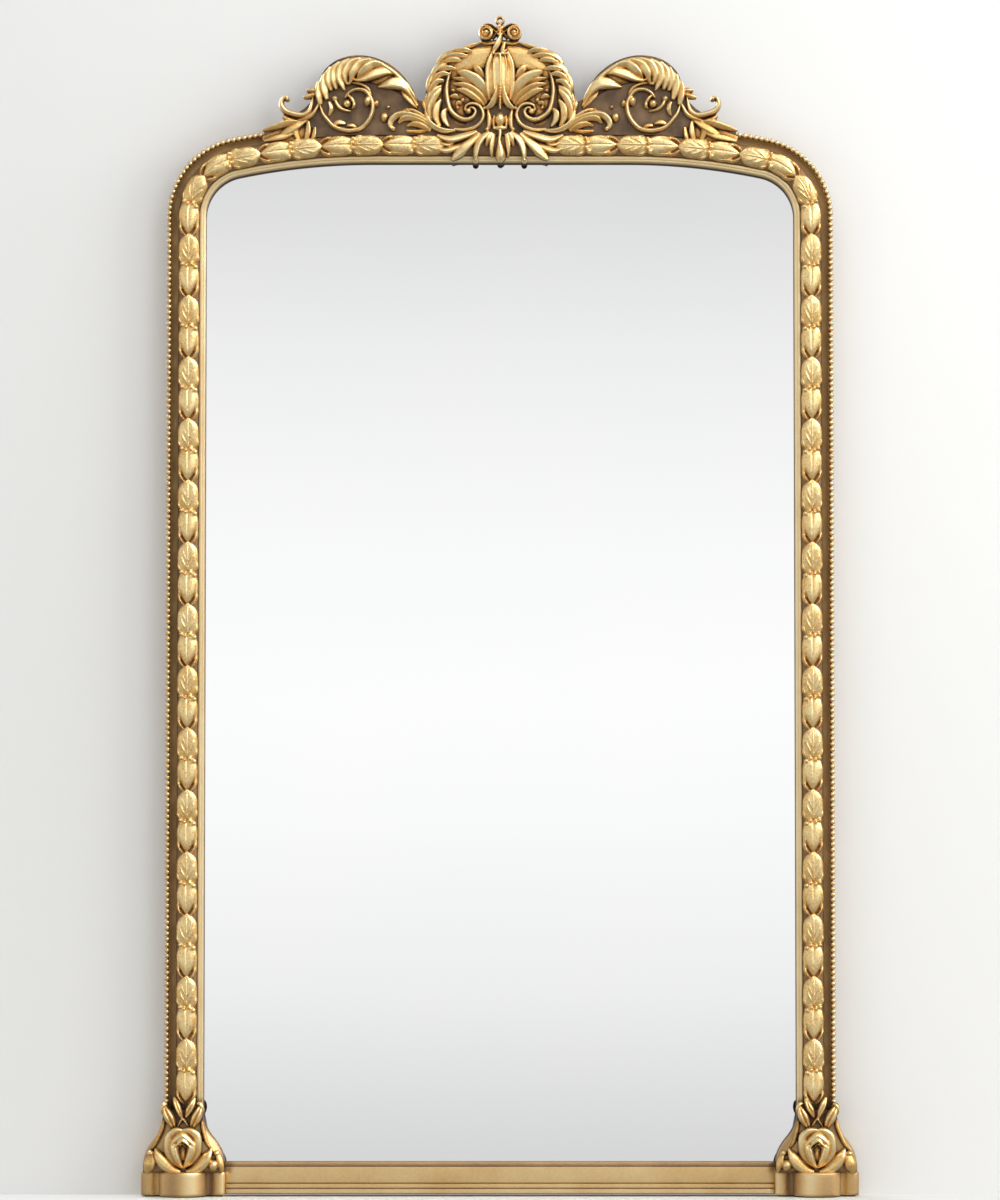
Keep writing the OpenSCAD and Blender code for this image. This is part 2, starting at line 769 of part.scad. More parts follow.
module crest_finial() {
  color(gilt) translate([0, -finial_back_d, crest_z]) difference() {
    union() {
      for (s = [-1, 1]) {
        translate([s * roll_x, 0, roll_z]) rotate([90, 0, 0]) cylinder(r = roll_r, h = roll_len, $fn = 48);
        translate([s * roll_x, -roll_len, roll_z]) sphere(r = roll_r * 0.6, $fn = 32);
      }
      translate([-roll_x, -tie_len, finial_foot]) cube([2 * roll_x, tie_len, tie_h]);
      translate([0, 4 - tie_len, roll_z]) rotate([90, 0, 0]) cylinder(r = boss_r, h = boss_len, $fn = 32);
      translate([0, -boss_len, loop_z]) rotate([90, 0, 0])
        rotate_extrude($fn = 48) translate([loop_r, 0]) circle(r = loop_wire_r, $fn = 24);
      translate([0, -boss_len - 3, roll_z + 5]) cylinder(r = stem_r, h = boss_len, $fn = 24);
    }
    translate([-2 * roll_x, -2 * roll_len, finial_foot - roll_len])
      cube([4 * roll_x, 3 * roll_len, roll_len + seat_gap]);
  }
}

// Drop: leaves that hang from the middle of the crest over the moulding
drop_leaves = [
  [[-14, -15, 5, 5], [-29, -33, 9, 9], [-36, -48, 9, 9], [-37, -62, 4, 7]],
  [[-10, -16, 4, 5], [-16, -30, 8, 7], [-21, -41, 3, 4]],
  [[-9, -20, 4, 5], [-11, -36, 6, 6], [-11, -52, 3, 4]],
  [[-26, -16, 5, 6], [-44, -29, 13, 9], [-60, -44, 17, 9], [-74, -55, 5, 5]],
  [[-30, -15, 5, 6], [-52, -22, 10, 9], [-78, -24, 9, 7], [-93, -21, 3, 4]],
  [[-58, -36, 5, 5], [-78, -41, 9, 7], [-93, -38, 3, 4]]
];
drop_lift = 6;
pendant = [[0, -18, 8, 12], [0, -32, 6, 14], [0, -44, 12, 18], [0, -54, 18, 19], [0, -63, 8, 10]];

module crest_drop() {
  color(gilt) difference() {
    union() {
      along_flat(roll_profile, -drop_half + joint_gap, drop_half - joint_gap);
      translate([0, -bed_d, crest_z]) {
        for (side = [0, 1], leaf = drop_leaves) mirror([side, 0, 0]) {
          stroke([for (p = leaf) [p[0], p[1], p[2], p[3] + drop_lift]]);
          let (tip = leaf[len(leaf) - 1]) knob(tip[0], tip[1], 2.5, 2.5, tip[3] + drop_lift);
        }
        stroke(pendant, ridge);
      }
    }
    translate([-drop_half - 2, -base_d, sight_top + cove_u + seat_gap])
      cube([2 * drop_half + 4, base_d, face_w]);
  }
}

// Side scroll, left: a hood of lobes over a ring, a horn, sprays and buds
hood_lobes = [
  [[-274, 70, 6, 5], [-279, 48, 9, 9], [-279, 28, 4, 8]],
  [[-266, 79, 7, 5], [-270, 56, 10, 11], [-268, 34, 4, 9]],
  [[-256, 88, 7, 5], [-260, 66, 10, 12], [-256, 44, 4, 9]],
  [[-246, 93, 7, 5], [-250, 72, 10, 13], [-244, 50, 4, 10]],
  [[-235, 96, 7, 5], [-240, 78, 10, 13], [-236, 58, 3, 9]],
  [[-222, 98, 8, 5], [-231, 84, 11, 13], [-230, 66, 4, 9]],
  [[-208, 97, 8, 5], [-220, 84, 11, 13], [-224, 68, 4, 9]],
  [[-194, 93, 8, 5], [-207, 81, 12, 13], [-214, 67, 4, 9]],
  [[-176, 86, 8, 5], [-190, 77, 13, 12], [-204, 66, 5, 8]],
  [[-134, 38, 5, 6], [-148, 60, 12, 11], [-168, 68, 15, 12], [-189, 57, 2, 6]],
  [[-130, 24, 3, 4], [-142, 30, 8, 7], [-153, 42, 3, 4]]
];
hood_crown = [
  [-134, 40, 5, 8], [-150, 68, 8, 11], [-172, 86, 9, 13], [-198, 97, 9, 14], [-222, 99, 9, 14],
  [-246, 93, 9, 13], [-264, 80, 8, 11], [-276, 60, 6, 8]
];
ring_scroll = [
  [-281, 30, 5, 7], [-276, 14, 6, 9], [-264, 0, 6, 9], [-244, -10, 6, 10], [-222, -11, 6, 10],
  [-204, 0, 6, 10], [-196, 18, 6, 10], [-200, 36, 6, 10], [-212, 48, 6, 10], [-228, 50, 6, 9],
  [-240, 42, 5, 8]
];
horn = [
  [-330, 42, 4, 7], [-339, 34, 6, 9], [-336, 22, 8, 10], [-322, 14, 8, 10], [-306, 12, 7, 10],
  [-295, 22, 6, 9], [-292, 36, 5, 7]
];
horn_root = [[-326, 8, 4, 6], [-306, 6, 6, 8], [-292, 14, 6, 8], [-283, 26, 4, 7]];
side_leaves = [
  [[-304, 8, 3, 4], [-307, -8, 8, 6], [-304, -21, 2, 3]],
  [[-298, 8, 3, 4], [-294, -8, 7, 5], [-297, -20, 2, 3]],
  [[-306, 8, 4, 5], [-324, -8, 8, 7], [-345, -22, 2, 3]],
  [[-322, 3, 5, 5], [-348, -2, 12, 7], [-370, -10, 2, 3]],
  [[-260, 40, 6, 7], [-249, 26, 6, 8], [-234, 18, 3, 5]],
  [[-258, 0, 3, 4], [-248, -1, 7, 7], [-236, -5, 2, 4]],
  [[-112, -6, 5, 6], [-134, 6, 9, 9], [-155, 15, 9, 11], [-170, 7, 8, 11], [-167, -8, 7, 9]],
  [[-114, 0, 4, 5], [-136, 16, 7, 8], [-152, 24, 2, 5]],
  [[-116, -8, 4, 5], [-142, -2, 8, 8], [-160, -6, 3, 6]],
  [[-278, 42, 6, 5], [-291, 50, 8, 8], [-304, 50, 5, 6]],
  [[-282, 32, 6, 5], [-297, 41, 8, 8], [-310, 38, 4, 6]]
];
side_knobs = [
  [-179, 9, 5, 8, 9], [-174, 27, 3, 3, 6], [-236, 31, 6, 5, 10], [-227, 28, 4, 5, 9],
  [-201, 30, 6, 9, 13], [-239, 41, 5, 5, 11], [-332, 42, 4, 4, 8], [-170, -6, 4, 4, 9]
];

module side_scroll_solid() {
  on_crest() difference() {
    union() {
      for (lobe = hood_lobes) stroke(lobe);
      stroke(hood_crown, ridge);
      stroke(ring_scroll, ridge);
      stroke(horn, ridge);
      stroke(horn_root, ridge);
      for (leaf = side_leaves) stroke(leaf);
      for (k = side_knobs) knob(k[0], k[1], k[2], k[3], k[4]);
    }
    scroll_clear();
  }
}

module side_scroll_left() {
  color(gilt) side_scroll_solid();
}

module side_scroll_right() {
  color(gilt) mirror([1, 0, 0]) side_scroll_solid();
}

// Glazing: outline of the sight edge moved outward by u, as points
arc_steps = 12;
curve_steps = 6;
function sight_outline(u) =
  let (left = concat(
    [[-half_w - u, sight_z - u]],
    [for (i = [0:arc_steps]) let (a = 180 - i * (90 - head_angle) / arc_steps)
      [-corner_x + (corner_r + u) * cos(a), spring_z + (corner_r + u) * sin(a)]],
    [for (i = [1:curve_steps]) let (a = 90 + head_angle * (1 - i / curve_steps))
      [-head_axis_x + (head_r + u) * cos(a), head_axis_z + (head_r + u) * sin(a)]]
  ))
  concat(left, [for (i = [len(left) - 1:-1:0]) [-left[i][0], left[i][1]]]);

module sheet_plate(u, d0, t) {
  translate([0, -d0, 0]) rotate([90, 0, 0]) linear_extrude(height = t) polygon(sight_outline(u));
}

glass_d = rabbet_d - seat_gap - glass_t;
board_d = seat_gap;
cushion_d = board_d + board_t + seat_gap;
cushion_t = glass_d - seat_gap - cushion_d;

module mirror_plate() {
  color("lightsteelblue") sheet_plate(lip_cover, glass_d, glass_t);
}

module glass_cushion() {
  color("white") sheet_plate(lip_cover - 1, cushion_d, cushion_t);
}

module backing_board() {
  color("peru") sheet_plate(lip_cover + rabbet_gap - 0.5, board_d, board_t);
}

// Blocks that centre the glass in the rabbet
block_len = 40;
block_gap = 0.15;
block_w = rabbet_gap - 2 * block_gap;
lower_block_up = 130;
upper_block_down = 200;
block_zs = [stile_z + lower_block_up, spring_z - upper_block_down];

module edge_blocks() {
  color("dimgray") mirrored() {
    for (z = block_zs)
      translate([-half_w - lip_cover - block_gap - block_w, -glass_d - glass_t, z])
        cube([block_w, glass_t, block_len]);
    translate([-half_w / 2, -glass_d - glass_t, sight_z - lip_cover - block_gap - block_w])
      cube([block_len, glass_t, block_w]);
  }
}

// Turn buttons: the pivot lies beside the rabbet, the long arm reaches over the board
button_u = rabbet_w + button_w / 2 + 3;
buttons_per_stile = 4;
button_bottom = 230;
button_span = 1050;
button_head_t = 2;
button_screw_len = 16;
button_end_r = button_w / 2;
button_arm = button_len - 2 * button_end_r;
function button_z(i) = button_bottom + button_span * i / (buttons_per_stile - 1);

// A screw hole in the back, a little deeper than its screw
bore_extra = 0.5;

module screw_bore(x, z, dia, len) {
  peg_y(x, z, dia + 2 * screw_fit, -1, len + bore_extra);
}

module button_bores() {
  for (i = [0:buttons_per_stile - 1])
    screw_bore(-half_w - button_u, button_z(i), button_screw_dia, button_screw_len);
}

module turn_button(side, i) {
  color("tan") translate([side * (half_w + button_u), seat_gap, button_z(i)])
    rotate([-90, 0, 0])
      linear_extrude(height = button_t) difference() {
        union() {
          circle(r = button_end_r, $fn = 48);
          translate([-side * button_arm, 0]) circle(r = button_end_r, $fn = 48);
          translate([side > 0 ? -button_arm : 0, -button_end_r]) square([button_arm, button_w]);
        }
        circle(d = button_screw_dia + 2 * pivot_fit, $fn = 48);
      }
}

module turn_button_1() { turn_button(-1, 0); }
module turn_button_2() { turn_button(-1, 1); }
module turn_button_3() { turn_button(-1, 2); }
module turn_button_4() { turn_button(-1, 3); }
module turn_button_5() { turn_button(1, 0); }
module turn_button_6() { turn_button(1, 1); }
module turn_button_7() { turn_button(1, 2); }
module turn_button_8() { turn_button(1, 3); }

// A pan-head screw whose head sits on a plate at Y = top
module back_screw(x, z, dia, top, len, head_t) {
  translate([x, top, z]) rotate([90, 0, 0]) cylinder(d = dia, h = top + len, $fn = 32);
  translate([x, top, z]) rotate([-90, 0, 0]) difference() {
    cylinder(d1 = dia * 2, d2 = dia * 1.5, h = head_t, $fn = 32);
    translate([-dia, -0.4, head_t - 0.7]) cube([2 * dia, 0.8, 1]);
  }
}

module button_screws() {
  color(steel) mirrored() for (i = [0:buttons_per_stile - 1])
    back_screw(-half_w - button_u, button_z(i), button_screw_dia, 2 * seat_gap + button_t,
               button_screw_len, button_head_t);
}

// Hangers: a strap with a rolled eye, and a D ring that turns in it
strap_u = 42;
strap_len = 58;
neck_len = 6;
strap_screw_dia = 4;
eye_w = 14;
eye_fit = 0.1;
eye_in_r = ring_wire / 2 + eye_fit;
eye_r = eye_in_r + strap_t;
ring_y = eye_r;
strap_screws = [-28, -48];
strap_screw_len = 18;

module hanger_strap() {
  color(steel) translate([-half_w - strap_u, 0, hanger_z]) difference() {
    union() {
      translate([-strap_w / 2, 0, -strap_len]) cube([strap_w, strap_t, strap_len - eye_r - neck_len]);
      translate([-eye_w / 2, 0, -eye_r - neck_len - 1]) cube([eye_w, strap_t, eye_r + neck_len + 1]);
      translate([-eye_w / 2, ring_y, 0]) rotate([0, 90, 0]) cylinder(r = eye_r, h = eye_w, $fn = 48);
    }
    translate([-eye_w, ring_y, 0]) rotate([0, 90, 0]) cylinder(r = eye_in_r, h = 2 * eye_w, $fn = 48);
    for (z = strap_screws)
      peg_y(0, z, strap_screw_dia + 2 * screw_fit, -strap_t - 1, 1);
  }
}

module hanger_bores() {
  for (z = strap_screws)
    screw_bore(-half_w - strap_u, hanger_z + z, strap_screw_dia, strap_screw_len);
}

// The ring hangs down from its straight bar
ring_r = ring_inner_w / 2 + ring_wire / 2;
ring_drop = 4;

module d_ring() {
  color(steel) translate([-half_w - strap_u, ring_y, hanger_z]) union() {
    translate([-ring_r, 0, 0]) rotate([0, 90, 0]) cylinder(d = ring_wire, h = 2 * ring_r, $fn = 48);
    for (s = [-1, 1]) {
      translate([s * ring_r, 0, 0]) sphere(d = ring_wire, $fn = 48);
      translate([s * ring_r, 0, -ring_drop]) cylinder(d = ring_wire, h = ring_drop, $fn = 48);
    }
    translate([0, 0, -ring_drop]) rotate([90, 0, 0])
      rotate_extrude(start = 180, angle = 180, $fn = 96)
        translate([ring_r, 0]) circle(d = ring_wire, $fn = 48);
  }
}

module hanger_strap_left() { hanger_strap(); }
module hanger_strap_right() { mirror([1, 0, 0]) hanger_strap(); }
module d_ring_left() { d_ring(); }
module d_ring_right() { mirror([1, 0, 0]) d_ring(); }

module hanger_screws() {
  color(steel) mirrored() for (z = strap_screws)
    back_screw(-half_w - strap_u, hanger_z + z, strap_screw_dia, strap_t, strap_screw_len, button_head_t);
}

// Joint plates across the ends of the stiles
plate_len = 110;
plate_w = 16;
plate_u = 42;
plate_screw_dia = 4;
plate_screw_len = 16;
plate_screw_z = [-45, -20, 20, 45];
joint_zs = [stile_z - joint_gap / 2, spring_z - joint_gap / 2];

module plate_bores() {
  for (zj = joint_zs, z = plate_screw_z)
    screw_bore(-half_w - plate_u, zj + z, plate_screw_dia, plate_screw_len);
}

// A flat steel strip with screw holes, centred on x and z
module flat_strip(x, z, len, screw_zs) {
  difference() {
    translate([x - plate_w / 2, 0, z - len / 2]) cube([plate_w, plate_t, len]);
    for (dz = screw_zs) peg_y(x, z + dz, plate_screw_dia + 2 * screw_fit, -plate_t - 1, 1);
  }
}

module joint_plates() {
  color(steel) mirrored() for (zj = joint_zs)
    flat_strip(-half_w - plate_u, zj, plate_len, plate_screw_z);
}

// Brackets that hold the crest board to the head
bracket_xs = [-215, -70, 70, 215];
bracket_len = 70;
bracket_screw_z = [-26, -12, 12, 26];
bracket_screw_len = crest_board_t - 3;

function head_top(x) = abs(x) < head_axis_x ? crest_z
  : head_axis_z + sqrt(pow(head_r + face_w, 2) - pow(abs(x) - head_axis_x, 2));

module bracket_bores() {
  for (x = bracket_xs, z = bracket_screw_z)
    screw_bore(x, head_top(x) + z, plate_screw_dia, bracket_screw_len);
}

module crest_brackets() {
  color(steel) for (x = bracket_xs) flat_strip(x, head_top(x), bracket_len, bracket_screw_z);
}

module plate_screws() {
  color(steel) {
    mirrored() for (zj = joint_zs, z = plate_screw_z)
      back_screw(-half_w - plate_u, zj + z, plate_screw_dia, plate_t, plate_screw_len, button_head_t);
    for (x = bracket_xs, z = bracket_screw_z)
      back_screw(x, head_top(x) + z, plate_screw_dia, plate_t, bracket_screw_len, button_head_t);
  }
}

// Rubber bumpers that keep the back off the wall
bumpers_at = [[-stile_x, foot_z + 50], [-stile_x - 6, spring_z - 90]];
bumper_taper = 4;

module wall_bumpers() {
  color("black") mirrored() for (p = bumpers_at)
    translate([p[0], 0, p[1]]) rotate([-90, 0, 0])
      cylinder(d1 = bumper_dia, d2 = bumper_dia - bumper_taper, h = bumper_t, $fn = 48);
}

// Felt pads under the plinths
felt_inset = 6;

module felt_pads() {
  color("darkolivegreen") mirrored()
    translate([-stile_x - base_w / 2 + felt_inset, -base_side_d + felt_inset, 0])
      cube([base_w - 2 * felt_inset, base_side_d - 2 * felt_inset, felt_t]);
}

stile_left();
stile_right();
head_rail();
bottom_rail();
plinth_left();
plinth_right();
bead_strip_left();
bead_strip_right();
head_beads_left();
head_beads_right();
laurel_left();
laurel_right();
head_laurel_left();
head_laurel_right();
rose_left();
rose_right();
crest_board();
crest_ground();
crest_shell();
crest_wreath_left();
crest_wreath_right();
crest_finial();
crest_drop();
side_scroll_left();
side_scroll_right();
mirror_plate();
glass_cushion();
backing_board();
edge_blocks();
joint_dowels();
turn_button_1();
turn_button_2();
turn_button_3();
turn_button_4();
turn_button_5();
turn_button_6();
turn_button_7();
turn_button_8();
button_screws();
hanger_strap_left();
hanger_strap_right();
d_ring_left();
d_ring_right();
hanger_screws();
joint_plates();
crest_brackets();
plate_screws();
wall_bumpers();
felt_pads();
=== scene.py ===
"""Gilt wall mirror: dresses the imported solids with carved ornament, gilding, glass and studio light."""

import math

import bmesh
import bpy
import numpy as np
from mathutils import Matrix, Vector


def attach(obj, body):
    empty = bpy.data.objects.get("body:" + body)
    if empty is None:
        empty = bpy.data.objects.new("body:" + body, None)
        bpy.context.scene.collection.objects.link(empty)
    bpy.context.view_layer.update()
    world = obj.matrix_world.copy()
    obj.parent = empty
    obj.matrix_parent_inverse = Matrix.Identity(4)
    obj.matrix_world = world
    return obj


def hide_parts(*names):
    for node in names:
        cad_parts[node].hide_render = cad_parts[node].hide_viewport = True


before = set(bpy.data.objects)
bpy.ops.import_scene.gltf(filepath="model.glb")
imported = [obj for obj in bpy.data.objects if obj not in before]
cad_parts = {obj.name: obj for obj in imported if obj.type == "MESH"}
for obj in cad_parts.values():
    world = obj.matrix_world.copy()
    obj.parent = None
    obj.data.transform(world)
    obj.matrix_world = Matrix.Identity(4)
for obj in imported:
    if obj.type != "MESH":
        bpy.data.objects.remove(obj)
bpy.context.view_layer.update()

MM = 0.001

# Driving sizes of the frame, in millimetres, the same as in the part's source
SIGHT_W = 916.0
SIGHT_H = 1551.0
CORNER_R = 65.0
HEAD_R = 1008.0
HEAD_FLAT = 400.0
FOOT_Z = 2.0
SIGHT_Z = 52.0
BAND_W = 10.0
LAUREL_W = 31.5
COVE_W = 11.0
BEAD_SEAT_W = 7.5
EDGE_D = 34.0
COVE_D = 28.0
BED_D = 38.0
BAND_D = 36.0
RABBET_D = 14.0
RABBET_W = 10.0
BEAD_PITCH = 8.6
GROUND_D = 40.0
PLINTH_TOP = 133.0
PLINTH_D = 50.0

FACE_W = BAND_W + LAUREL_W + COVE_W + BEAD_SEAT_W
HALF_W = SIGHT_W / 2
SIGHT_TOP = SIGHT_Z + SIGHT_H
CREST_Z = SIGHT_TOP + FACE_W
STILE_X = HALF_W + FACE_W / 2
HEAD_X = HEAD_FLAT / 2
HEAD_Z = SIGHT_TOP - HEAD_R
HEAD_ANGLE = math.asin((HALF_W - CORNER_R - HEAD_X) / (HEAD_R - CORNER_R))
CORNER_X = HALF_W - CORNER_R
CORNER_TURN = math.pi / 2 - HEAD_ANGLE
SPRING_Z = HEAD_Z + (HEAD_R - CORNER_R) * math.cos(HEAD_ANGLE)
ROLL_U = BAND_W + LAUREL_W / 2
COVE_U = BAND_W + LAUREL_W
BEAD_U = FACE_W - BEAD_SEAT_W / 2

# Lengths of the sight edge up the left half: stile, corner, curved head, and in all with the flat of the head
STILE_LEN = SPRING_Z - PLINTH_TOP
CORNER_LEN = CORNER_R * CORNER_TURN
CURVE_LEN = HEAD_R * HEAD_ANGLE
HALF_LEN = STILE_LEN + CORNER_LEN + CURVE_LEN + HEAD_X


# Node helpers
def linear(hex_colour):
    """sRGB hex to linear colour."""
    parts = [int(hex_colour[i : i + 2], 16) / 255 for i in (1, 3, 5)]
    return [*((c / 12.92 if c <= 0.04045 else ((c + 0.055) / 1.055) ** 2.4) for c in parts), 1.0]


def put(thing, settings):
    for name, value in settings.items():
        setattr(thing, name, value)


def feed(tree, node, inputs):
    """Fills inputs of a node, by name or number, with a node (its first output), an output or a value."""
    for socket, value in inputs.items():
        value = value.outputs[0] if isinstance(value, bpy.types.Node) else value
        if isinstance(value, bpy.types.NodeSocket):
            tree.links.new(value, node.inputs[socket])
        else:
            node.inputs[socket].default_value = value


def set_stops(ramp, stops):
    """Gives a colour ramp its stops: (place, hex colour or grey number)."""
    elements = ramp.elements
    while len(elements) < len(stops):
        elements.new(0.5)
    for element, (place, colour) in zip(elements, stops):
        element.position = place
        element.color = linear(colour) if isinstance(colour, str) else (colour, colour, colour, 1)


def add(tree, kind, inputs=None, stops=None, **settings):
    """Adds a node. stops are those of a colour ramp."""
    node = tree.nodes.new(kind)
    put(node, settings)
    feed(tree, node, inputs or {})
    if stops:
        set_stops(node.color_ramp, stops)
    return node


def bare_tree(owner):
    """The emptied node tree of a material or a world."""
    owner.use_nodes = True
    owner.node_tree.nodes.clear()
    return owner.node_tree


def new_material(name):
    """A bare Principled material. Returns it with its tree, its shader and the object's own coordinates."""
    material = bpy.data.materials.new(name)
    tree = bare_tree(material)
    shader = add(tree, "ShaderNodeBsdfPrincipled")
    add(tree, "ShaderNodeOutputMaterial", {"Surface": shader})
    return material, tree, shader, add(tree, "ShaderNodeTexCoord").outputs["Object"]


# Materials
# Sizes of the flecks, chips and grain of the leaf, and how strongly its broad clouds shift the tone
FLECK_MM = 4.0
CHIP_MM = 2.6
GRAIN_MM = 2.5
CLOUDS = 0.34


def gilding(name, stops, metal, rough, patch_mm=38.0, fleck=0.5, pits=0.0):
    """Gold leaf over gesso, toned with umber. The attribute read here says how much a spot is rubbed, and
    also carries painted light: painted shade where it is low, painted highlight where it is high.

    metal and rough are (at the umber end, at the rubbed end). fleck and pits say how strongly the small
    flecks and the chips through the leaf shift the tone.
    """
    material, tree, shader, place = new_material(name)
    worn = add(tree, "ShaderNodeAttribute", attribute_name="worn").outputs["Fac"]
    patches = add(tree, "ShaderNodeTexNoise", {"Vector": place, "Scale": 1000 / patch_mm, "Detail": 4.0})
    flecks = add(tree, "ShaderNodeTexNoise",
                 {"Vector": place, "Scale": 1000 / FLECK_MM, "Detail": 5.0, "Roughness": 0.7})
    grit = add(tree, "ShaderNodeTexNoise", {"Vector": place, "Scale": 1000 / CHIP_MM, "Detail": 3.0})
    grain = add(tree, "ShaderNodeTexNoise", {"Vector": place, "Scale": 1000 / GRAIN_MM, "Detail": 3.0})
    clouds = add(tree, "ShaderNodeMath", {0: patches, 1: CLOUDS, 2: -CLOUDS / 2}, operation="MULTIPLY_ADD")
    specks = add(tree, "ShaderNodeMath", {0: flecks, 1: fleck, 2: clouds}, operation="MULTIPLY_ADD")
    shift = add(tree, "ShaderNodeMath", {0: specks, 1: fleck / 2}, operation="SUBTRACT")
    chips = add(tree, "ShaderNodeMapRange",
                {"Value": grit, "From Min": 0.52, "From Max": 0.72, "To Max": pits})
    kept = add(tree, "ShaderNodeMath", {0: shift, 1: chips}, operation="SUBTRACT")
    level = add(tree, "ShaderNodeMath", {0: worn, 1: kept}, operation="ADD", use_clamp=True)
    colour = add(tree, "ShaderNodeValToRGB", {0: level}, stops)
    gleam = add(tree, "ShaderNodeMapRange", {"Value": level, "From Min": 0.12, "From Max": 0.38,
                                             "To Min": metal[0], "To Max": metal[1]})
    dullness = add(tree, "ShaderNodeMapRange", {"Value": level, "From Min": 0.1, "From Max": 0.9,
                                                "To Min": rough[0], "To Max": rough[1]})
    dents = add(tree, "ShaderNodeBump", {"Height": grain, "Strength": 0.25, "Distance": 0.4 * MM})
    feed(tree, shader, {"Base Color": colour, "Metallic": gleam, "Roughness": dullness, "Normal": dents})
    return material


# Water gilding over carved gesso: umber stays in the hollows, high points are rubbed bright; the dark end
# also serves as painted shade, the bright end as painted highlight
CARVED_STOPS = [(0.0, "#20150C"), (0.2, "#553A1C"), (0.4, "#A67A44"), (0.58, "#D0A05C"), (0.8, "#EABF76"),
                (1.0, "#FAE1A8")]
carved_gilding = gilding("water_gilding_on_carved_gesso", CARVED_STOPS, (0.2, 0.85), (0.62, 0.36), pits=0.12)
# The same leaf on the laurel, which is more chipped
laurel_gilding = gilding("chipped_gilding_on_laurel", CARVED_STOPS, (0.2, 0.85), (0.62, 0.38), fleck=0.6,
                         pits=0.3)
# Oil gilding on run mouldings: flatter, browner and duller than the carving
MOULDING_STOPS = [(0.0, "#3E2C1E"), (0.25, "#8A6D50"), (0.5, "#BB9868"), (0.72, "#DFBA7E"), (1.0, "#F8E2B0")]
moulding_gilding = gilding("oil_gilding_on_run_moulding", MOULDING_STOPS, (0.3, 0.75), (0.6, 0.4), 70.0, 0.2)


def mottled(name, light, dark, roughness, patch_mm, metallic=0.0, bump_mm=0.3, grain_mm=1.5,
            stretch=(1, 1, 1)):
    """A plain finish with patches of two tones and a fine grain."""
    material, tree, shader, place = new_material(name)
    run = add(tree, "ShaderNodeMapping", {"Vector": place, "Scale": stretch})
    patches = add(tree, "ShaderNodeTexNoise", {"Vector": run, "Scale": 1000 / patch_mm, "Detail": 5.0})
    grain = add(tree, "ShaderNodeTexNoise", {"Vector": run, "Scale": 1000 / grain_mm, "Detail": 2.0})
    colour = add(tree, "ShaderNodeValToRGB", {0: patches}, [(0.3, dark), (0.7, light)])
    dullness = add(tree, "ShaderNodeMapRange",
                   {"Value": patches, "To Min": roughness - 0.08, "To Max": roughness + 0.08})
    dents = add(tree, "ShaderNodeBump", {"Height": grain, "Strength": 0.3, "Distance": bump_mm * MM})
    feed(tree, shader, {"Base Color": colour, "Metallic": metallic, "Roughness": dullness, "Normal": dents})
    return material


# Gesso ground toned with umber and a little bronze powder: dark, a dull sheen, cloudy
umber_ground = mottled("umber_toned_gesso", "#8E7356", "#54422F", 0.5, 24, metallic=0.35)
# Stained pine: long dark grain across the board
stained_pine = mottled("stained_pine", "#6A4C30", "#4A3422", 0.65, 60, stretch=(0.15, 1, 1))
# Hardboard, screen side out: even brown with fine pitted weave
hardboard = mottled("oiled_hardboard", "#7A5A3C", "#664930", 0.8, 90, bump_mm=0.4, grain_mm=1.2)
# Kraft packing card: dull straw colour
packing_card = mottled("corrugated_kraft_card", "#B89B70", "#A3875E", 0.85, 50)
# Zinc-plated steel: pale grey with a faint cloudy spangle
zinc_steel = mottled("zinc_plated_steel", "#B9BABA", "#9C9EA0", 0.38, 8, metallic=1.0, bump_mm=0.05)
# Brass-plated steel, dulled with age
dull_brass = mottled("dulled_brass_plate", "#B08D4A", "#8C6C36", 0.36, 10, metallic=1.0, bump_mm=0.05)
# Soft moulded rubber: near black, matt
black_rubber = mottled("moulded_rubber", "#1C1C1C", "#121212", 0.75, 6)
# Pressed wool felt: dark green with short fuzzy fibres
wool_felt = mottled("pressed_wool_felt", "#2E3A26", "#202A1A", 0.95, 4, bump_mm=0.6, grain_mm=0.6)
# Beech dowel rod: pale, with fine upright grain
beech = mottled("planed_beech", "#C9A271", "#B68C5A", 0.55, 12, stretch=(1, 1, 0.2))
# Dark cork setting blocks beside the glass
setting_block = mottled("cork_setting_block", "#4A3F33", "#2E2820", 0.85, 3)


HAZE_MM = 333.0


def silvered_glass():
    """Float glass silvered behind: a clear cold reflection and nothing of its own."""
    material, tree, shader, place = new_material("silvered_float_glass")
    haze = add(tree, "ShaderNodeTexNoise", {"Vector": place, "Scale": 1000 / HAZE_MM, "Detail": 2.0})
    tint = add(tree, "ShaderNodeValToRGB", {0: haze}, [(0.3, "#FBFCFC"), (0.7, "#FDFDFD")])
    feed(tree, shader, {"Base Color": tint, "Metallic": 1.0, "Roughness": 0.0})
    return material


mirror_silver = silvered_glass()

# Mesh helpers
MOST_TRIANGLES = 170000


def linked(name, data):
    """A new object in the scene."""
    thing = bpy.data.objects.new(name, data)
    bpy.context.scene.collection.objects.link(thing)
    return thing


def mesh_object(name, verts, faces, material, smooth=True):
    """A closed mesh from arrays in millimetres, with its faces turned outwards."""
    mesh = bpy.data.meshes.new(name)
    mesh.from_pydata([tuple(float(c) * MM for c in v) for v in verts], [], [list(map(int, f)) for f in faces])
    work = bmesh.new()
    work.from_mesh(mesh)
    bmesh.ops.remove_doubles(work, verts=work.verts, dist=1e-7)
    bmesh.ops.recalc_face_normals(work, faces=work.faces)
    work.to_mesh(mesh)
    work.free()
    mesh.materials.append(material)
    mesh.polygons.foreach_set("use_smooth", [smooth] * len(mesh.polygons))
    return linked(name, mesh)


def between_rings(start, rings, n):
    """Faces between rings of n points each, numbered from start."""
    return [(a + j, a + (j + 1) % n, a + n + (j + 1) % n, a + n + j)
            for a in range(start, start + (rings - 1) * n, n) for j in range(n)]


def closed_skin(start, rings, n):
    """The same with a lid on the first and the last ring."""
    lids = [list(range(start, start + n))[::-1], list(range(start + (rings - 1) * n, start + rings * n))]
    return between_rings(start, rings, n) + lids


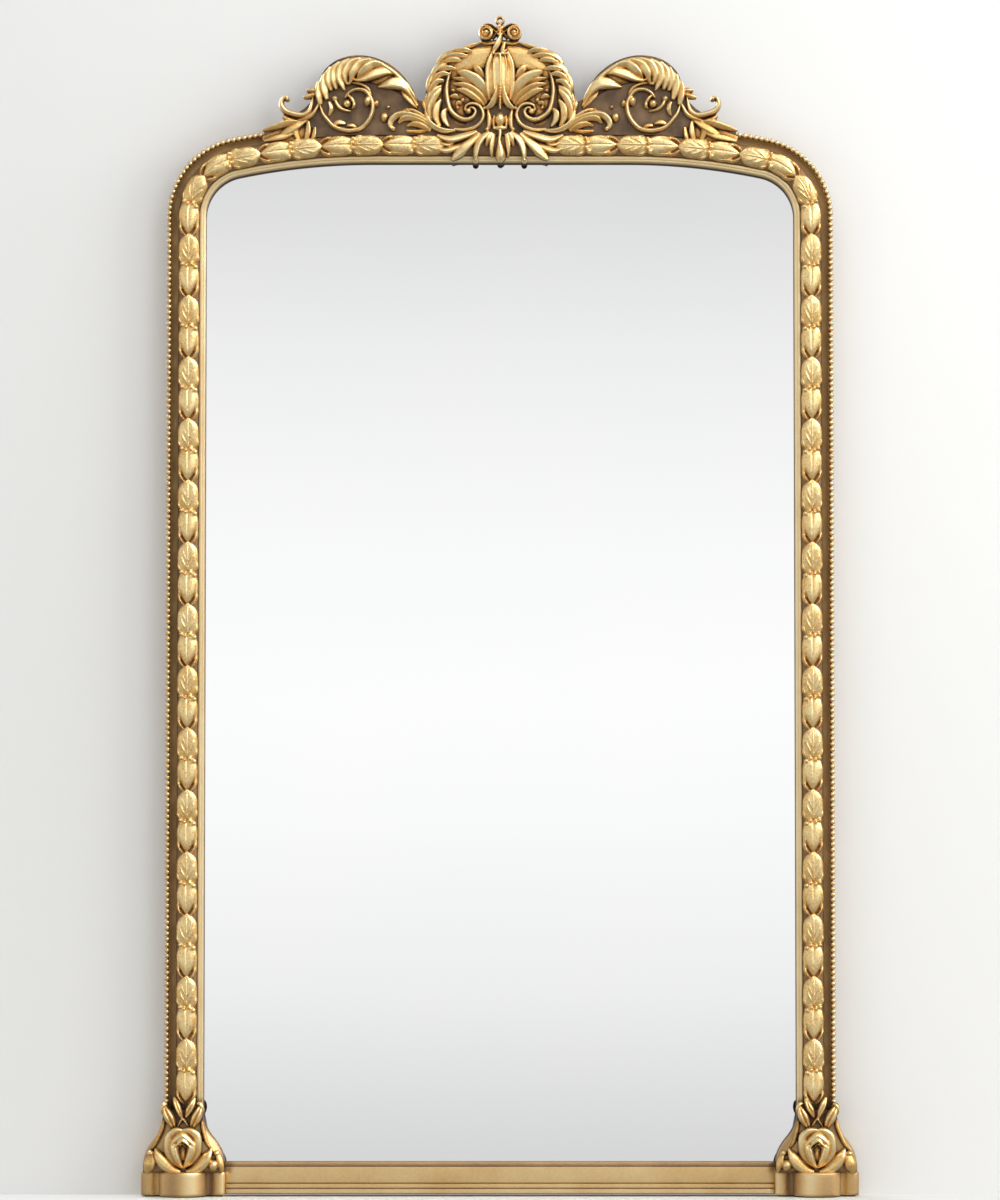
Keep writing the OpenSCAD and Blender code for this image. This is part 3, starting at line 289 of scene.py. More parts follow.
def tube(name, rings, material, worn=None):
    """Joins rings of points into a closed skin. The last argument is the level of wear and painted light
    round one ring, the same on all.
    """
    faces = closed_skin(0, len(rings), len(rings[0]))
    piece = mesh_object(name, [v for ring in rings for v in ring], faces, material)
    if worn:
        set_wear_and_painted_light(piece.data, np.array(worn * len(rings)))
    return piece


def plain_mesh(thing):
    """The mesh of an object with its modifiers applied."""
    graph = bpy.context.evaluated_depsgraph_get()
    done = thing.evaluated_get(graph)
    return bpy.data.meshes.new_from_object(done, preserve_all_data_layers=True, depsgraph=graph)


def baked(piece):
    """Applies a piece's modifiers and leaves a plain mesh."""
    mesh = plain_mesh(piece)
    piece.modifiers.clear()
    old = piece.data
    piece.data = mesh
    if old.users == 0:
        bpy.data.meshes.remove(old)
    return piece


def modify(piece, kind, **settings):
    put(piece.modifiers.new(kind.lower(), kind), settings)


def thinned(piece, triangles):
    """Thins a mesh of quads to a number of triangles."""
    ratio = triangles / (2 * len(piece.data.polygons))
    if ratio >= 1:
        return piece
    modify(piece, "DECIMATE", ratio=ratio)
    return baked(piece)


def carve(piece, voxel_mm, smooth_steps):
    """Melts overlapping strokes into one carved skin."""
    modify(piece, "REMESH", mode="VOXEL", voxel_size=voxel_mm * MM, use_smooth_shade=True)
    modify(piece, "SMOOTH", factor=0.5, iterations=smooth_steps)
    return thinned(baked(piece), MOST_TRIANGLES)


def coordinates(mesh):
    """The vertices of a mesh, in millimetres."""
    co = np.empty(len(mesh.vertices) * 3, np.float32)
    mesh.vertices.foreach_get("co", co)
    return co.reshape(-1, 3) / MM


# Writes the level of wear and painted light that the gildings read
def set_wear_and_painted_light(mesh, values):
    attribute = mesh.attributes.get("worn") or mesh.attributes.new("worn", "FLOAT", "POINT")
    attribute.data.foreach_set("value", np.clip(values, 0, 1).astype(np.float32))


def blurred(grid, cells):
    """Box blur of a 2-D array, three passes along each way."""
    size = 2 * cells + 1
    for axis in (0, 1):
        for _ in range(3):
            padded = np.pad(grid, [(cells + 1, cells) if a == axis else (0, 0) for a in (0, 1)], mode="edge")
            total = np.cumsum(padded, axis=axis)
            grid = (np.take(total, range(size, padded.shape[axis]), axis) -
                    np.take(total, range(0, padded.shape[axis] - size), axis)) / size
    return grid


MAP_RIM = 12
# What a point has to stand above its near and its wider surroundings to count in full
RIDGE_MM = 2.0
RISE_MM = 5.0


def paint_wear_and_shade(piece, ground_mm, base, fine_mm=2.5, broad_mm=7.0, relief_mm=20.0):
    """Writes the level of wear and painted light from a height map of 1 mm cells of the carving: ridges
    bright, grooves and foot dark, partly as umber toning and rubbing and partly as painted shade and
    highlight.
    """
    co = coordinates(piece.data)
    x, z, depth = co[:, 0], co[:, 2], -co[:, 1]
    i = (x - x.min()).astype(int) + MAP_RIM
    j = (z - z.min()).astype(int) + MAP_RIM
    grid = np.full((i.max() + MAP_RIM + 1, j.max() + MAP_RIM + 1), ground_mm, np.float32)
    np.maximum.at(grid, (i, j), depth)
    fine = blurred(grid, int(round(fine_mm)))
    broad = blurred(grid, int(round(broad_mm)))
    ridge = np.clip((depth - fine[i, j]) / RIDGE_MM, -1.6, 1.0)
    rise = np.clip((depth - broad[i, j]) / RISE_MM, -1.2, 1.0)
    height = np.clip((depth - ground_mm) / relief_mm, 0, 1)
    # Painted shade and highlight over the toning and rubbing: grooves, low parts and the foot darker, ridges
    # and high parts lighter
    tone = np.where(ridge > 0, 0.16, 0.3) * ridge + np.where(rise > 0, 0.08, 0.12) * rise
    set_wear_and_painted_light(piece.data, base + tone + 0.42 * (height - 0.55))
    return piece


def dress(piece, slot, *nodes):
    """Hides the solids that a piece stands in for and lets it ride on the frame; slot is not used."""
    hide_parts(*nodes)
    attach(piece, "frame")


def dress_both(left, slot, *nodes):
    """Dresses a left piece, and its mirror image as the right one."""
    mesh = left.data.copy()
    name = left.name.replace("left", "right")
    mesh.name = name
    mesh.transform(Matrix.Diagonal((-1, 1, 1, 1)))
    mesh.flip_normals()
    right = linked(name, mesh)
    dress(left, slot, *nodes)
    dress(right, slot, *[node.replace("left", "right") for node in nodes])


# Strokes of carving
# Cross-sections: (share of half the width, share of the height), the right of the travel first
ROLL = [(-1, 0), (-0.93, 0.42), (-0.71, 0.74), (-0.38, 0.93), (0, 1), (0.38, 0.93), (0.71, 0.74),
        (0.93, 0.42), (1, 0)]
SECTIONS = {
    "roll": ROLL,
    # Two raised halves beside a groove
    "leaf": [(-1, 0), (-0.92, 0.5), (-0.62, 0.88), (-0.28, 0.94), (0, 0.7), (0.28, 0.94), (0.62, 0.88),
             (0.92, 0.5), (1, 0)],
    "ridge": [(-1, 0), (-0.75, 0.42), (-0.3, 0.82), (0, 1), (0.3, 0.82), (0.75, 0.42), (1, 0)],
    "gutter": [(-1, 0), (-0.97, 0.72), (-0.78, 1), (-0.5, 0.86), (0, 0.6), (0.5, 0.86), (0.78, 1),
               (0.97, 0.72), (1, 0)],
    # A rolled lip right of the travel, then a fall
    "petal": [(-1, 0), (-0.94, 0.7), (-0.72, 0.95), (-0.3, 1), (0.2, 0.93), (0.6, 0.78), (0.9, 0.5), (1, 0)],
    # A broad acanthus lobe: a high rounded edge right of the travel, then a long easy slope
    "lobe": [(-1, 0), (-0.96, 0.66), (-0.8, 0.94), (-0.5, 1), (-0.15, 0.95), (0.3, 0.87), (0.7, 0.77),
             (0.93, 0.52), (1, 0)],
    # A smooth blade with a thin groove along its middle
    "laurel": [(-1, 0), (-0.97, 0.5), (-0.82, 0.8), (-0.5, 0.95), (-0.14, 1), (0, 0.9), (0.14, 1),
               (0.5, 0.95), (0.82, 0.8), (0.97, 0.5), (1, 0)],
}
# The same with the right and the left of the travel changed over
for kind in ("petal", "lobe"):
    SECTIONS[kind + "_back"] = [(-s, h) for s, h in reversed(SECTIONS[kind])]


def rows_of(table):
    """Reads a carving table: gives (kind, points) for each row.

    A stroke's points are x z width height, a knob's x z rx rz height and perhaps low, in mm from the
    carving's origin. A row that starts with a blank goes on the row above it, one with # is a comment.
    """
    for row in table.replace("\n ", " ").strip().splitlines():
        kind, _, points = row.partition(":")
        if not row.startswith("#"):
            yield kind, [[float(n) for n in point.split()] for point in points.split(",")]


def curved(points, steps):
    """Smooth curve through given points, each (x, z, width, height)."""
    p = np.array(points, float)
    last = len(p) - 1
    out = []
    for i in range(last):
        a, b, c, d = p[max(i - 1, 0)], p[i], p[i + 1], p[min(i + 2, last)]
        for k in range(steps):
            t = k / steps
            out.append(0.5 * (2 * b + (c - a) * t + (2 * a - 5 * b + 4 * c - d) * t**2
                              + (3 * b - a - 3 * c + d) * t**3))
    out.append(p[last])
    return np.array(out)


NARROWEST = 0.4
LOWEST = 0.2


class Carving:
    """Gathers strokes and knobs on a plane at one depth, in millimetres. Their feet sink below it."""

    def __init__(self, x, z, depth, sink=1.5):
        self.x, self.z, self.depth, self.sink = x, z, depth, sink
        self.verts, self.faces = [], []

    def place(self, x, z, height):
        return (self.x + x, -(self.depth + height), self.z + z)

    def stroke(self, points, section=ROLL, steps=6):
        c = curved(points, steps)
        start, rim = len(self.verts), len(section) + 2
        for i in range(len(c)):
            way = c[min(i + 1, len(c) - 1), :2] - c[max(i - 1, 0), :2]
            way = way / (np.hypot(*way) or 1)
            x, z, width, height = c[i]
            width, height = max(width, NARROWEST), max(height, LOWEST)
            for s, h in [(-1, None)] + section + [(1, None)]:
                up = -self.sink if h is None else h * height
                self.verts.append(self.place(x - way[1] * s * width / 2, z + way[0] * s * width / 2, up))
        self.faces += closed_skin(start, len(c), rim)

    def knob(self, x, z, rx, rz, height, low=0.0, rings=6, parts=14):
        """A half egg standing on the plane, raised by low."""
        start = len(self.verts)
        for i in range(rings):
            a = math.pi / 2 * i / rings
            up = low + (height - low) * math.sin(a) if i else -self.sink
            for j in range(parts):
                b = 2 * math.pi * j / parts
                dx, dz = rx * math.cos(a) * math.cos(b), rz * math.cos(a) * math.sin(b)
                self.verts.append(self.place(x + dx, z + dz, up))
        self.verts.append(self.place(x, z, height))
        self.faces += between_rings(start, rings, parts)
        last, top = start + (rings - 1) * parts, start + rings * parts
        self.faces += [(last + j, last + (j + 1) % parts, top) for j in range(parts)]
        self.faces.append(list(range(start, start + parts))[::-1])

    def cut(self, table, lift=0, sides=(1,)):
        """Makes the strokes and knobs of a table, each stroke higher by lift and once for every side."""
        for kind, points in rows_of(table):
            if kind == "knob":
                for point in points:
                    self.knob(*point)
                continue
            for side in sides:
                self.stroke([(x * side, z, w, h + lift) for x, z, w, h in points], SECTIONS[kind])

    def mirror(self):
        """Adds the mirror image, about X = 0, of all that was gathered."""
        start = len(self.verts)
        self.verts.extend([(-x, y, z) for x, y, z in self.verts])
        self.faces.extend([[v + start for v in f][::-1] for f in self.faces])

    def finish(self, name, material, voxel_mm=0.8, smooth_steps=2):
        return carve(mesh_object(name, self.verts, self.faces, material), voxel_mm, smooth_steps)


# Run mouldings
def on_arc(x, z, radius, angle):
    """A point of an arc about (x, z), and its outward direction."""
    across, up = math.cos(angle), math.sin(angle)
    return (x + radius * across, z + radius * up), (across, up)


def path_station(s, u):
    """Point and outward direction at length s (mm along the sight edge) up the left half, moved out by u."""
    if s <= STILE_LEN:
        return (-HALF_W - u, PLINTH_TOP + s), (-1.0, 0.0)
    s -= STILE_LEN
    if s <= CORNER_LEN:
        return on_arc(-CORNER_X, SPRING_Z, CORNER_R + u, math.pi - s / CORNER_R)
    s -= CORNER_LEN
    if s <= CURVE_LEN:
        return on_arc(-HEAD_X, HEAD_Z, HEAD_R + u, math.pi / 2 + HEAD_ANGLE - s / HEAD_R)
    return (-HEAD_X + (s - CURVE_LEN), SIGHT_TOP + u), (0.0, 1.0)


# Lengths at which the moulding has a ring: wide steps on straights, close ones round the corner
CORNER_END = STILE_LEN + CORNER_LEN
STATIONS = [*np.linspace(0, STILE_LEN, 70)[:-1], *np.linspace(STILE_LEN, CORNER_END, 40)[:-1],
            *np.linspace(CORNER_END, HALF_LEN, 44)]


def rounded(points, radius, steps=3):
    """Rounds the corners of a closed outline, by less than half of their sides."""
    out = []
    n = len(points)
    for i in range(n):
        a, b, c = (np.array(points[k % n][:2], float) for k in (i - 1, i, i + 1))
        r = min(radius, 0.45 * np.hypot(*(a - b)), 0.45 * np.hypot(*(c - b)))
        p, q = b + (a - b) / np.hypot(*(a - b)) * r, b + (c - b) / np.hypot(*(c - b)) * r
        for k in range(steps + 1):
            t = k / steps
            out.append((*((1 - t) ** 2 * p + 2 * t * (1 - t) * b + t**2 * q), points[i][2]))
    return out


def sweep(name, outline, material):
    """Runs a closed (u, depth, level of wear and painted light) outline along both halves of the frame, foot
    to foot.
    """
    left = [path_station(s, 0) for s in STATIONS]
    path = left + [((-x, z), (-dx, dz)) for (x, z), (dx, dz) in reversed(left[:-1])]
    rings = [[(x + dx * u, -depth, z + dz * u) for u, depth, _ in outline] for (x, z), (dx, dz) in path]
    return tube(name, rings, material, [worn for _, _, worn in outline])


ARRIS_R = 0.6
COVE_STEPS = 9
COVE_RIM_D = EDGE_D + 1.2
EDGE_U = BEAD_U + 0.6


def cove():
    """The hollow: a quarter of an oval, lighter towards the beads and darker beside the laurel, partly umber
    toning and partly painted shade of the leaves.
    """
    for i in range(1, COVE_STEPS + 1):
        a = math.pi / 2 * i / COVE_STEPS
        depth = COVE_RIM_D - (COVE_RIM_D - COVE_D) * math.cos(a)
        yield COVE_U + COVE_W * math.sin(a), depth, 0.4 + 0.42 * i / COVE_STEPS


# (distance out from the sight edge, depth, level of wear and painted light): rabbet and sight wall painted
# dark as shade, so that the glass shows a dark line at its edge; stepped band, rubbed bright on its arrises,
# with painted shade in its corners; bed of the laurel, hollow, and the flat under the beads
frame_outline = [
    (RABBET_W, 0, 0.3), (RABBET_W, RABBET_D, 0.1), (0, RABBET_D, 0), (0, BAND_D - 13, 0),
    (0, BAND_D - 9, 0.6), (1.5, BAND_D - 2, 1.0), (BAND_W / 2, BAND_D - 2, 0.85), (BAND_W / 2, BAND_D, 1.0),
    (BAND_W - 1.2, BAND_D, 0.85), (BAND_W, BAND_D - 1, 0.1), (BAND_W + 0.8, BED_D, 0.2),
    (COVE_U - 0.8, BED_D, 0.2), (COVE_U, BED_D - 1, 0.1), (COVE_U, COVE_D, 0.05), *cove(),
    (COVE_U + COVE_W + 0.6, EDGE_D, 0.1), (EDGE_U - 0.4, EDGE_D, 0.3), (EDGE_U, EDGE_D - 1, 0.5),
    (EDGE_U, 0, 0.35),
]
moulding = sweep("frame_moulding", rounded(frame_outline, ARRIS_R), moulding_gilding)
dress(moulding, "gilt_wood", "stile_left", "stile_right", "head_rail")


# Repeats along the frame, by Geometry Nodes
def path_curve(name, u, depth, start, end, step):
    """A poly curve up the left half at distance u from the sight edge, in metres."""
    count = max(2, int((end - start) / step))
    curve = bpy.data.curves.new(name, "CURVE")
    curve.dimensions = "3D"
    spline = curve.splines.new("POLY")
    spline.points.add(count)
    for i, point in enumerate(spline.points):
        (x, z), _ = path_station(start + (end - start) * i / count, u)
        point.co = (x * MM, -depth * MM, z * MM, 1)
    return linked(name, curve)


def node_group(name, **inputs):
    """A Geometry Nodes tree. inputs are those after the geometry, name=kind. Returns it and them all."""
    tree = bpy.data.node_groups.new(name, "GeometryNodeTree")
    for socket, kind in {"Geometry": "Geometry", **inputs}.items():
        tree.interface.new_socket(socket, in_out="INPUT", socket_type="NodeSocket" + kind)
    tree.interface.new_socket("Geometry", in_out="OUTPUT", socket_type="NodeSocketGeometry")
    return tree, add(tree, "NodeGroupInput").outputs


def run_group(holder, tree, name, **values):
    """Runs a tree on a holder with its inputs set, and leaves a plain mesh in the holder's place."""
    nodes = holder.modifiers.new(tree.name, "NODES")
    nodes.node_group = tree
    for item in tree.interface.items_tree:
        if item.item_type == "SOCKET" and item.in_out == "INPUT" and item.name in values:
            nodes[item.identifier] = values[item.name]
    mesh = plain_mesh(holder)
    mesh.name = name
    bpy.data.objects.remove(holder)
    return linked(name, mesh)


def bead_tree():
    """Pearls threaded along a curve, each turned by its own small amount."""
    tree, given = node_group("pearl_beading", Pitch="Float", Radius="Float", Finish="Material")
    points = add(tree, "GeometryNodeCurveToPoints", {"Curve": given["Geometry"], "Length": given["Pitch"]},
                 mode="LENGTH")
    pearl = add(tree, "GeometryNodeMeshUVSphere", {"Segments": 8, "Rings": 6, "Radius": given["Radius"]})
    soft = add(tree, "GeometryNodeSetShadeSmooth", {"Geometry": pearl})
    turn = add(tree, "FunctionNodeRandomValue", {"Min": (0, 0, 0), "Max": (0.6, 0.6, 0.6), "Seed": 7},
               data_type="FLOAT_VECTOR")
    threaded = add(tree, "GeometryNodeInstanceOnPoints",
                   {"Points": points, "Instance": soft, "Rotation": turn})
    real = add(tree, "GeometryNodeRealizeInstances", {0: threaded})
    done = add(tree, "GeometryNodeSetMaterial", {"Geometry": real, "Material": given["Finish"]})
    add(tree, "NodeGroupOutput", {0: done})
    return tree


# A little fuller than the 7.2 mm spheres of the solids: gesso and gilding fill the gaps between the beads
BEAD_DIA = 8.0
BEAD_MIDDLE_D = EDGE_D + 3.2
# Beads stop where the crest begins
CREST_REACH = 372.0
BEAD_STOP_TURN = math.asin((CREST_REACH + 1 - HEAD_X) / (HEAD_R + BEAD_U))
BEAD_END = HALF_LEN - HEAD_X - HEAD_R * BEAD_STOP_TURN


def pearl_beading():
    name = "pearl_beading_left"
    guide = path_curve(name + "_guide", BEAD_U, BEAD_MIDDLE_D, BEAD_PITCH / 2, BEAD_END, 4.0)
    beads = run_group(guide, bead_tree(), name, Pitch=BEAD_PITCH * MM, Radius=BEAD_DIA / 2 * MM,
                      Finish=carved_gilding)
    # Painted shade where a bead meets its seat and painted highlight on its crown, over the rubbing of the
    # gilding
    seat_d, crown_mm = EDGE_D + 1.5, 5.0
    depth = -coordinates(beads.data)[:, 1]
    set_wear_and_painted_light(beads.data, 0.2 + 0.8 * np.clip((depth - seat_d) / crown_mm, 0, 1))
    dress_both(beads, "gilt_carving", "bead_strip_left", "head_beads_left")


pearl_beading()

# Laurel garland
# A unit is a cluster of berries with a broad leaf that points on and a pointed leaf that points back.
# In these tables x is across and z along the bed, from the berries
LAUREL_LEAVES = """
laurel: 0 -2 20 9, 0 5 29 11.5, 0 16 32 13, 0 30 32 14, 0 38 28 14, 0 44 19 13, 0 49 4 11
laurel: 0 2 20 10, 0 -5 28 13.5, 0 -14 30 15, 0 -26 27 15.5, 0 -36 19 15, 0 -43 10 13.5, 0 -48 2 11
"""
# Thin leaves that stand out, made on both sides
SPRIGS = """
ridge: 11 -3 4 10, 13.5 -12 5 11.5, 13.5 -24 6 12, 12 -34 6 11.5, 10 -42 2 9
ridge: 3 -52 4 10, 9 -46 8 13, 13 -38 7 12, 15 -30 2 8
ridge: 10 2 5 9, 14 9 6 11.5, 15 18 2 8
"""
MIDDLE_VEIN = "roll: 0 4 2 14.2, 0 18 2.6 15.4, 0 34 2.2 15.4, 0 44 1 14"
# Made on both sides too
SIDE_VEINS = """
roll: 2 8 1.4 13.6, 7 17 2.4 14.6, 11 27 1.6 13.6
roll: 2 20 1.4 14.4, 6 29 2.2 15, 9 38 1.4 13.6
"""
# (across, along, radius)
BERRIES = [(-10, 1, 3.2), (-3.5, -1.5, 3.2), (4.5, 0.5, 3.6), (10.5, -4, 3.8)]
BERRY_TOP = 17
BERRY_FOOT = 9
UNIT_TRIANGLES = 3800
# The garland runs from the plinth to the drop of the crest; its first and last berries stand off the ends
GARLAND_REPEATS = 19
FIRST_BERRIES = 61.3
LAST_BERRIES = 36.0
DROP_HALF = 98.0
UNEVEN_MM = 1.6
UNEVEN_SCALE = 90.0


def laurel_unit():
    """One repeat of the garland, laid out flat on the bed."""
    unit = Carving(0, 0, BED_D, sink=1)
    unit.cut(LAUREL_LEAVES)
    unit.cut(SPRIGS, sides=(-1, 1))
    unit.cut(MIDDLE_VEIN)
    unit.cut(SIDE_VEINS, sides=(-1, 1))
    for x, z, r in BERRIES:
        unit.knob(x, z, r, r, BERRY_TOP, low=BERRY_FOOT)
    piece = unit.finish("laurel_unit", laurel_gilding, smooth_steps=1)
    thinned(piece, UNIT_TRIANGLES)
    return paint_wear_and_shade(piece, BED_D, 0.63, fine_mm=2.0, broad_mm=5.0, relief_mm=18.0)


def garland_tree():
    """Sets copies of a unit end to end and bends the row along a curve, with a carver's small unevenness."""
    tree, given = node_group("laurel_garland", Unit="Object", Start="Float", Repeat="Float", Count="Int",
                             Unevenness="Float", Finish="Material")
    step = add(tree, "ShaderNodeCombineXYZ", {"Z": given["Repeat"]})
    first = add(tree, "ShaderNodeCombineXYZ", {"Z": given["Start"]})
    row = add(tree, "GeometryNodeMeshLine",
              {"Count": given["Count"], "Start Location": first, "Offset": step}, mode="OFFSET")
    unit = add(tree, "GeometryNodeObjectInfo", {"Object": given["Unit"]}).outputs["Geometry"]
    placed = add(tree, "GeometryNodeInstanceOnPoints", {"Points": row, "Instance": unit})
    real = add(tree, "GeometryNodeRealizeInstances", {0: placed})
    # The length along the row picks the place on the curve; the distance across it goes on sideways
    flat = add(tree, "GeometryNodeInputPosition")
    part = add(tree, "ShaderNodeSeparateXYZ", {0: flat}).outputs
    spot = add(tree, "GeometryNodeSampleCurve", {"Curves": given["Geometry"], "Length": part["Z"]},
               mode="LENGTH").outputs
    outward = add(tree, "ShaderNodeVectorMath", {0: spot["Tangent"], 1: (0.0, 1.0, 0.0)},
                  operation="CROSS_PRODUCT")
    inward = add(tree, "ShaderNodeMath", {0: part["X"], 1: -1.0}, operation="MULTIPLY")
    across = add(tree, "ShaderNodeVectorMath", {0: outward, "Scale": inward}, operation="SCALE")
    rough = add(tree, "ShaderNodeTexNoise", {"Vector": flat, "Scale": UNEVEN_SCALE, "Detail": 2.0})
    lift = add(tree, "ShaderNodeMath", {0: rough, 1: 0.5}, operation="SUBTRACT")
    depth = add(tree, "ShaderNodeMath", {0: lift, 1: given["Unevenness"], 2: part["Y"]},
                operation="MULTIPLY_ADD")
    forward = add(tree, "ShaderNodeCombineXYZ", {"Y": depth})
    sideways = add(tree, "ShaderNodeVectorMath", {0: spot["Position"], 1: across}, operation="ADD")
    place = add(tree, "ShaderNodeVectorMath", {0: sideways, 1: forward}, operation="ADD")
    bent = add(tree, "GeometryNodeSetPosition", {"Geometry": real, "Position": place})
    done = add(tree, "GeometryNodeSetMaterial", {"Geometry": bent, "Material": given["Finish"]})
    add(tree, "NodeGroupOutput", {0: done})
    return tree


def garland():
    name = "laurel_garland_left"
    roll_len = STILE_LEN + (CORNER_R + ROLL_U) * CORNER_TURN + (HEAD_R + ROLL_U) * HEAD_ANGLE
    roll_len += HEAD_X - DROP_HALF
    repeat = (roll_len - FIRST_BERRIES - LAST_BERRIES) / (GARLAND_REPEATS - 1)
    guide = path_curve(name + "_guide", ROLL_U, 0, 0, HALF_LEN, 3.0)
    unit = laurel_unit()
    leaves = run_group(guide, garland_tree(), name, Unit=unit, Start=FIRST_BERRIES * MM, Repeat=repeat * MM,
                       Count=GARLAND_REPEATS, Unevenness=UNEVEN_MM * MM, Finish=laurel_gilding)
    bpy.data.objects.remove(unit)
    dress_both(leaves, "gilt_carving", "laurel_left", "head_laurel_left")


garland()

# The plain roll under the leaves: half an oval
ROLL_STEPS = 10
ROLL_HALF_W = LAUREL_W / 2 * 0.97
ROLL_RISE = 6.0
roll_outline = [
    (ROLL_U - ROLL_HALF_W * math.cos(a), BED_D + ROLL_RISE * math.sin(a), 0.25)
    for a in (math.pi * i / ROLL_STEPS for i in range(ROLL_STEPS + 1))
]
roll = sweep("laurel_roll", roll_outline + [(ROLL_U, BED_D - 0.5, 0.2)], moulding_gilding)
dress(roll, "gilt_wood")

# Foot of the frame: the bottom rail, the plinths and their roses
BASE_HALF_W = 65.0
JOINT_GAP = 0.3
RAIL_Z = FOOT_Z + 1.5
RAIL_D = 40.0
RAIL_TOP = SIGHT_Z - RAIL_Z
RAIL_END = STILE_X - BASE_HALF_W - JOINT_GAP
# (height above the rail's underside, depth, level of wear and painted light): rubbed bright arrises, with
# painted shade in the steps and on the rabbet
rail_outline = [
    (0, 0, 0.3), (0, RAIL_D - 2, 0.2), (1.5, RAIL_D, 0.85), (7.5, RAIL_D, 0.8), (8, RAIL_D - 2, 0.3),
    (9.5, RAIL_D - 2, 0.4), (10, RAIL_D - 1, 0.8), (15, RAIL_D - 1, 0.75), (16, RAIL_D - 4, 0.35),
    (17, RAIL_D - 4, 0.4), (18, RAIL_D - 3, 0.78), (RAIL_TOP - 7.5, RAIL_D - 3, 0.78),
    (RAIL_TOP - 6.5, RAIL_D - 4.5, 0.2), (RAIL_TOP - 2, RAIL_D - 5, 0.45), (RAIL_TOP, RAIL_D - 7, 0.6),
    (RAIL_TOP, RABBET_D, 0.15), (RAIL_TOP - RABBET_W, RABBET_D, 0.1), (RAIL_TOP - RABBET_W, 0, 0.3),
]


def rail():
    outline = rounded(rail_outline, ARRIS_R)
    stops = np.linspace(-RAIL_END, RAIL_END, 60)
    rings = [[(x, -depth, RAIL_Z + h) for h, depth, _ in outline] for x in stops]
    piece = tube("bottom_rail_moulding", rings, moulding_gilding, [worn for _, _, worn in outline])
    dress(piece, "gilt_wood", "bottom_rail")


rail()

BASE_H = 36.0
BASE_SIDE_D = 46.0
BOW_R = 36.0
BOW_D = 80.0
CORNER_ROUND = 9.5
HOLLOW_X = 42
HOLLOW_W = 5.0
# Where the painted reflection on the bow is brightest, and how fast its painted bands wax and wane across it
REFLECTION_X = 12
REFLECTION_WAVE_W = 8.5
# Height above the foot and how far the arris is drawn in
BASE_LEVELS = [(0, 1.2), (1.2, 0), (4, 0), (12, 0), (20, 0), (28, 0), (BASE_H - 3, 0), (BASE_H - 1, 0.4),
               (BASE_H, 1.6)]
# Height above the foot, half width of the bell and the rounding of its front edges
BELL = [(35.5, 62, 8), (40, 62.3, 10), (44, 62.5, 12), (52, 61.8, 14), (60, 60.5, 16), (66, 58.8, 17),
        (72, 56, 18), (80, 51, 18), (86, 46.3, 17), (91, 42, 16), (96, 38.4, 14), (102, 35, 12),
        (108, 32.9, 9), (114, 31.5, 7), (120, 30.6, 5), (126, 30, 3.5), (130.9, 30, 3)]
# Height above the foot and tone: brightest at mid height, darker at the foot and darkest at the top
BELL_TONE = [(36, 0.3), (50, 0.5), (85, 0.62), (105, 0.5), (118, 0.12), (131, 0.05)]


def rounded_side(half_w, depth, r, turns):
    """Left side of a plan, (x, depth): straight, then round the front corner by turns in degrees."""
    side = [(-half_w, 0), (-half_w, depth - r)]
    return side + [(-half_w + r - r * math.cos(a), depth - r + r * math.sin(a)) for a in np.radians(turns)]


def base_outline():
    """Left half of the plan of the base block: a round outer corner, a hollow beside a bowed front."""
    left = rounded_side(BASE_HALF_W, BASE_SIDE_D, CORNER_ROUND, [18, 36, 54, 72, 90])
    left += [(-47, BASE_SIDE_D), (-45.5, BASE_SIDE_D - 3), (-41, BASE_SIDE_D - 5), (-37, BASE_SIDE_D - 4)]
    bow = np.radians(range(4, 90, 7))
    return left + [(BOW_R * -math.cos(a), BOW_D - BOW_R + BOW_R * math.sin(a)) for a in bow]


def plinth_ring(height, left, middle=(), scale=(1, 1)):
    """One ring of the left plinth from the left half of its plan."""
    plan = left + list(middle) + [(-x, d) for x, d in reversed(left)]
    return [(-STILE_X + x * scale[0], -d * scale[1], FOOT_Z + height) for x, d in plan]


def base_block():
    """The block under the rose, with painted reflections in waves across its bowed front and painted shade in
    the hollows.
    """
    rings = [plinth_ring(h, base_outline(), [(0, BOW_D)], (1 - inset / BASE_HALF_W, 1 - inset / BOW_D))
             for h, inset in BASE_LEVELS]
    block = tube("plinth_base", rings, moulding_gilding)
    across = coordinates(block.data)[:, 0] + STILE_X
    hollow = np.exp(-((np.abs(across) - HOLLOW_X) / HOLLOW_W) ** 2)
    # Painted reflection in waves across the bow and painted shade in the hollows beside it
    set_wear_and_painted_light(block.data, 0.7 + 0.19 * np.cos((across - REFLECTION_X) / REFLECTION_WAVE_W) - 0.3 * hollow)
    return block


def bell():
    """The bell-shaped body behind the rose."""
    rings = []
    for h, w, r in BELL:
        front = [(-w * 0.5, PLINTH_D), (-w * 0.2, PLINTH_D)]
        rings.append(plinth_ring(h, rounded_side(w, PLINTH_D, r, [22, 45, 67, 90]) + front))
    body = tube("plinth_bell", rings, moulding_gilding)
    set_wear_and_painted_light(body.data, np.interp(coordinates(body.data)[:, 2] - FOOT_Z, *zip(*BELL_TONE)))
    return body


def joined(name, *pieces):
    """Makes one object of several closed meshes."""
    work = bmesh.new()
    for piece in pieces:
        work.from_mesh(piece.data)
    mesh = bpy.data.meshes.new(name)
    work.to_mesh(mesh)
    work.free()
    mesh.materials.append(pieces[0].data.materials[0])
    for piece in pieces:
        bpy.data.objects.remove(piece)
    return linked(name, mesh)


def cut_box(piece, low, high):
    """Cuts a box, given by two corners in millimetres, out of a piece."""
    corners = [(x, y, z) for x in (low[0], high[0]) for y in (low[1], high[1]) for z in (low[2], high[2])]
    faces = [(0, 1, 3, 2), (4, 6, 7, 5), (0, 4, 5, 1), (2, 3, 7, 6), (0, 2, 6, 4), (1, 5, 7, 3)]
    cutter = mesh_object("cutter", corners, faces, piece.data.materials[0], smooth=False)
    modify(piece, "BOOLEAN", operation="DIFFERENCE", solver="EXACT", object=cutter)
    baked(piece)
    bpy.data.objects.remove(cutter)


ROSE_Z = FOOT_Z + 80.0
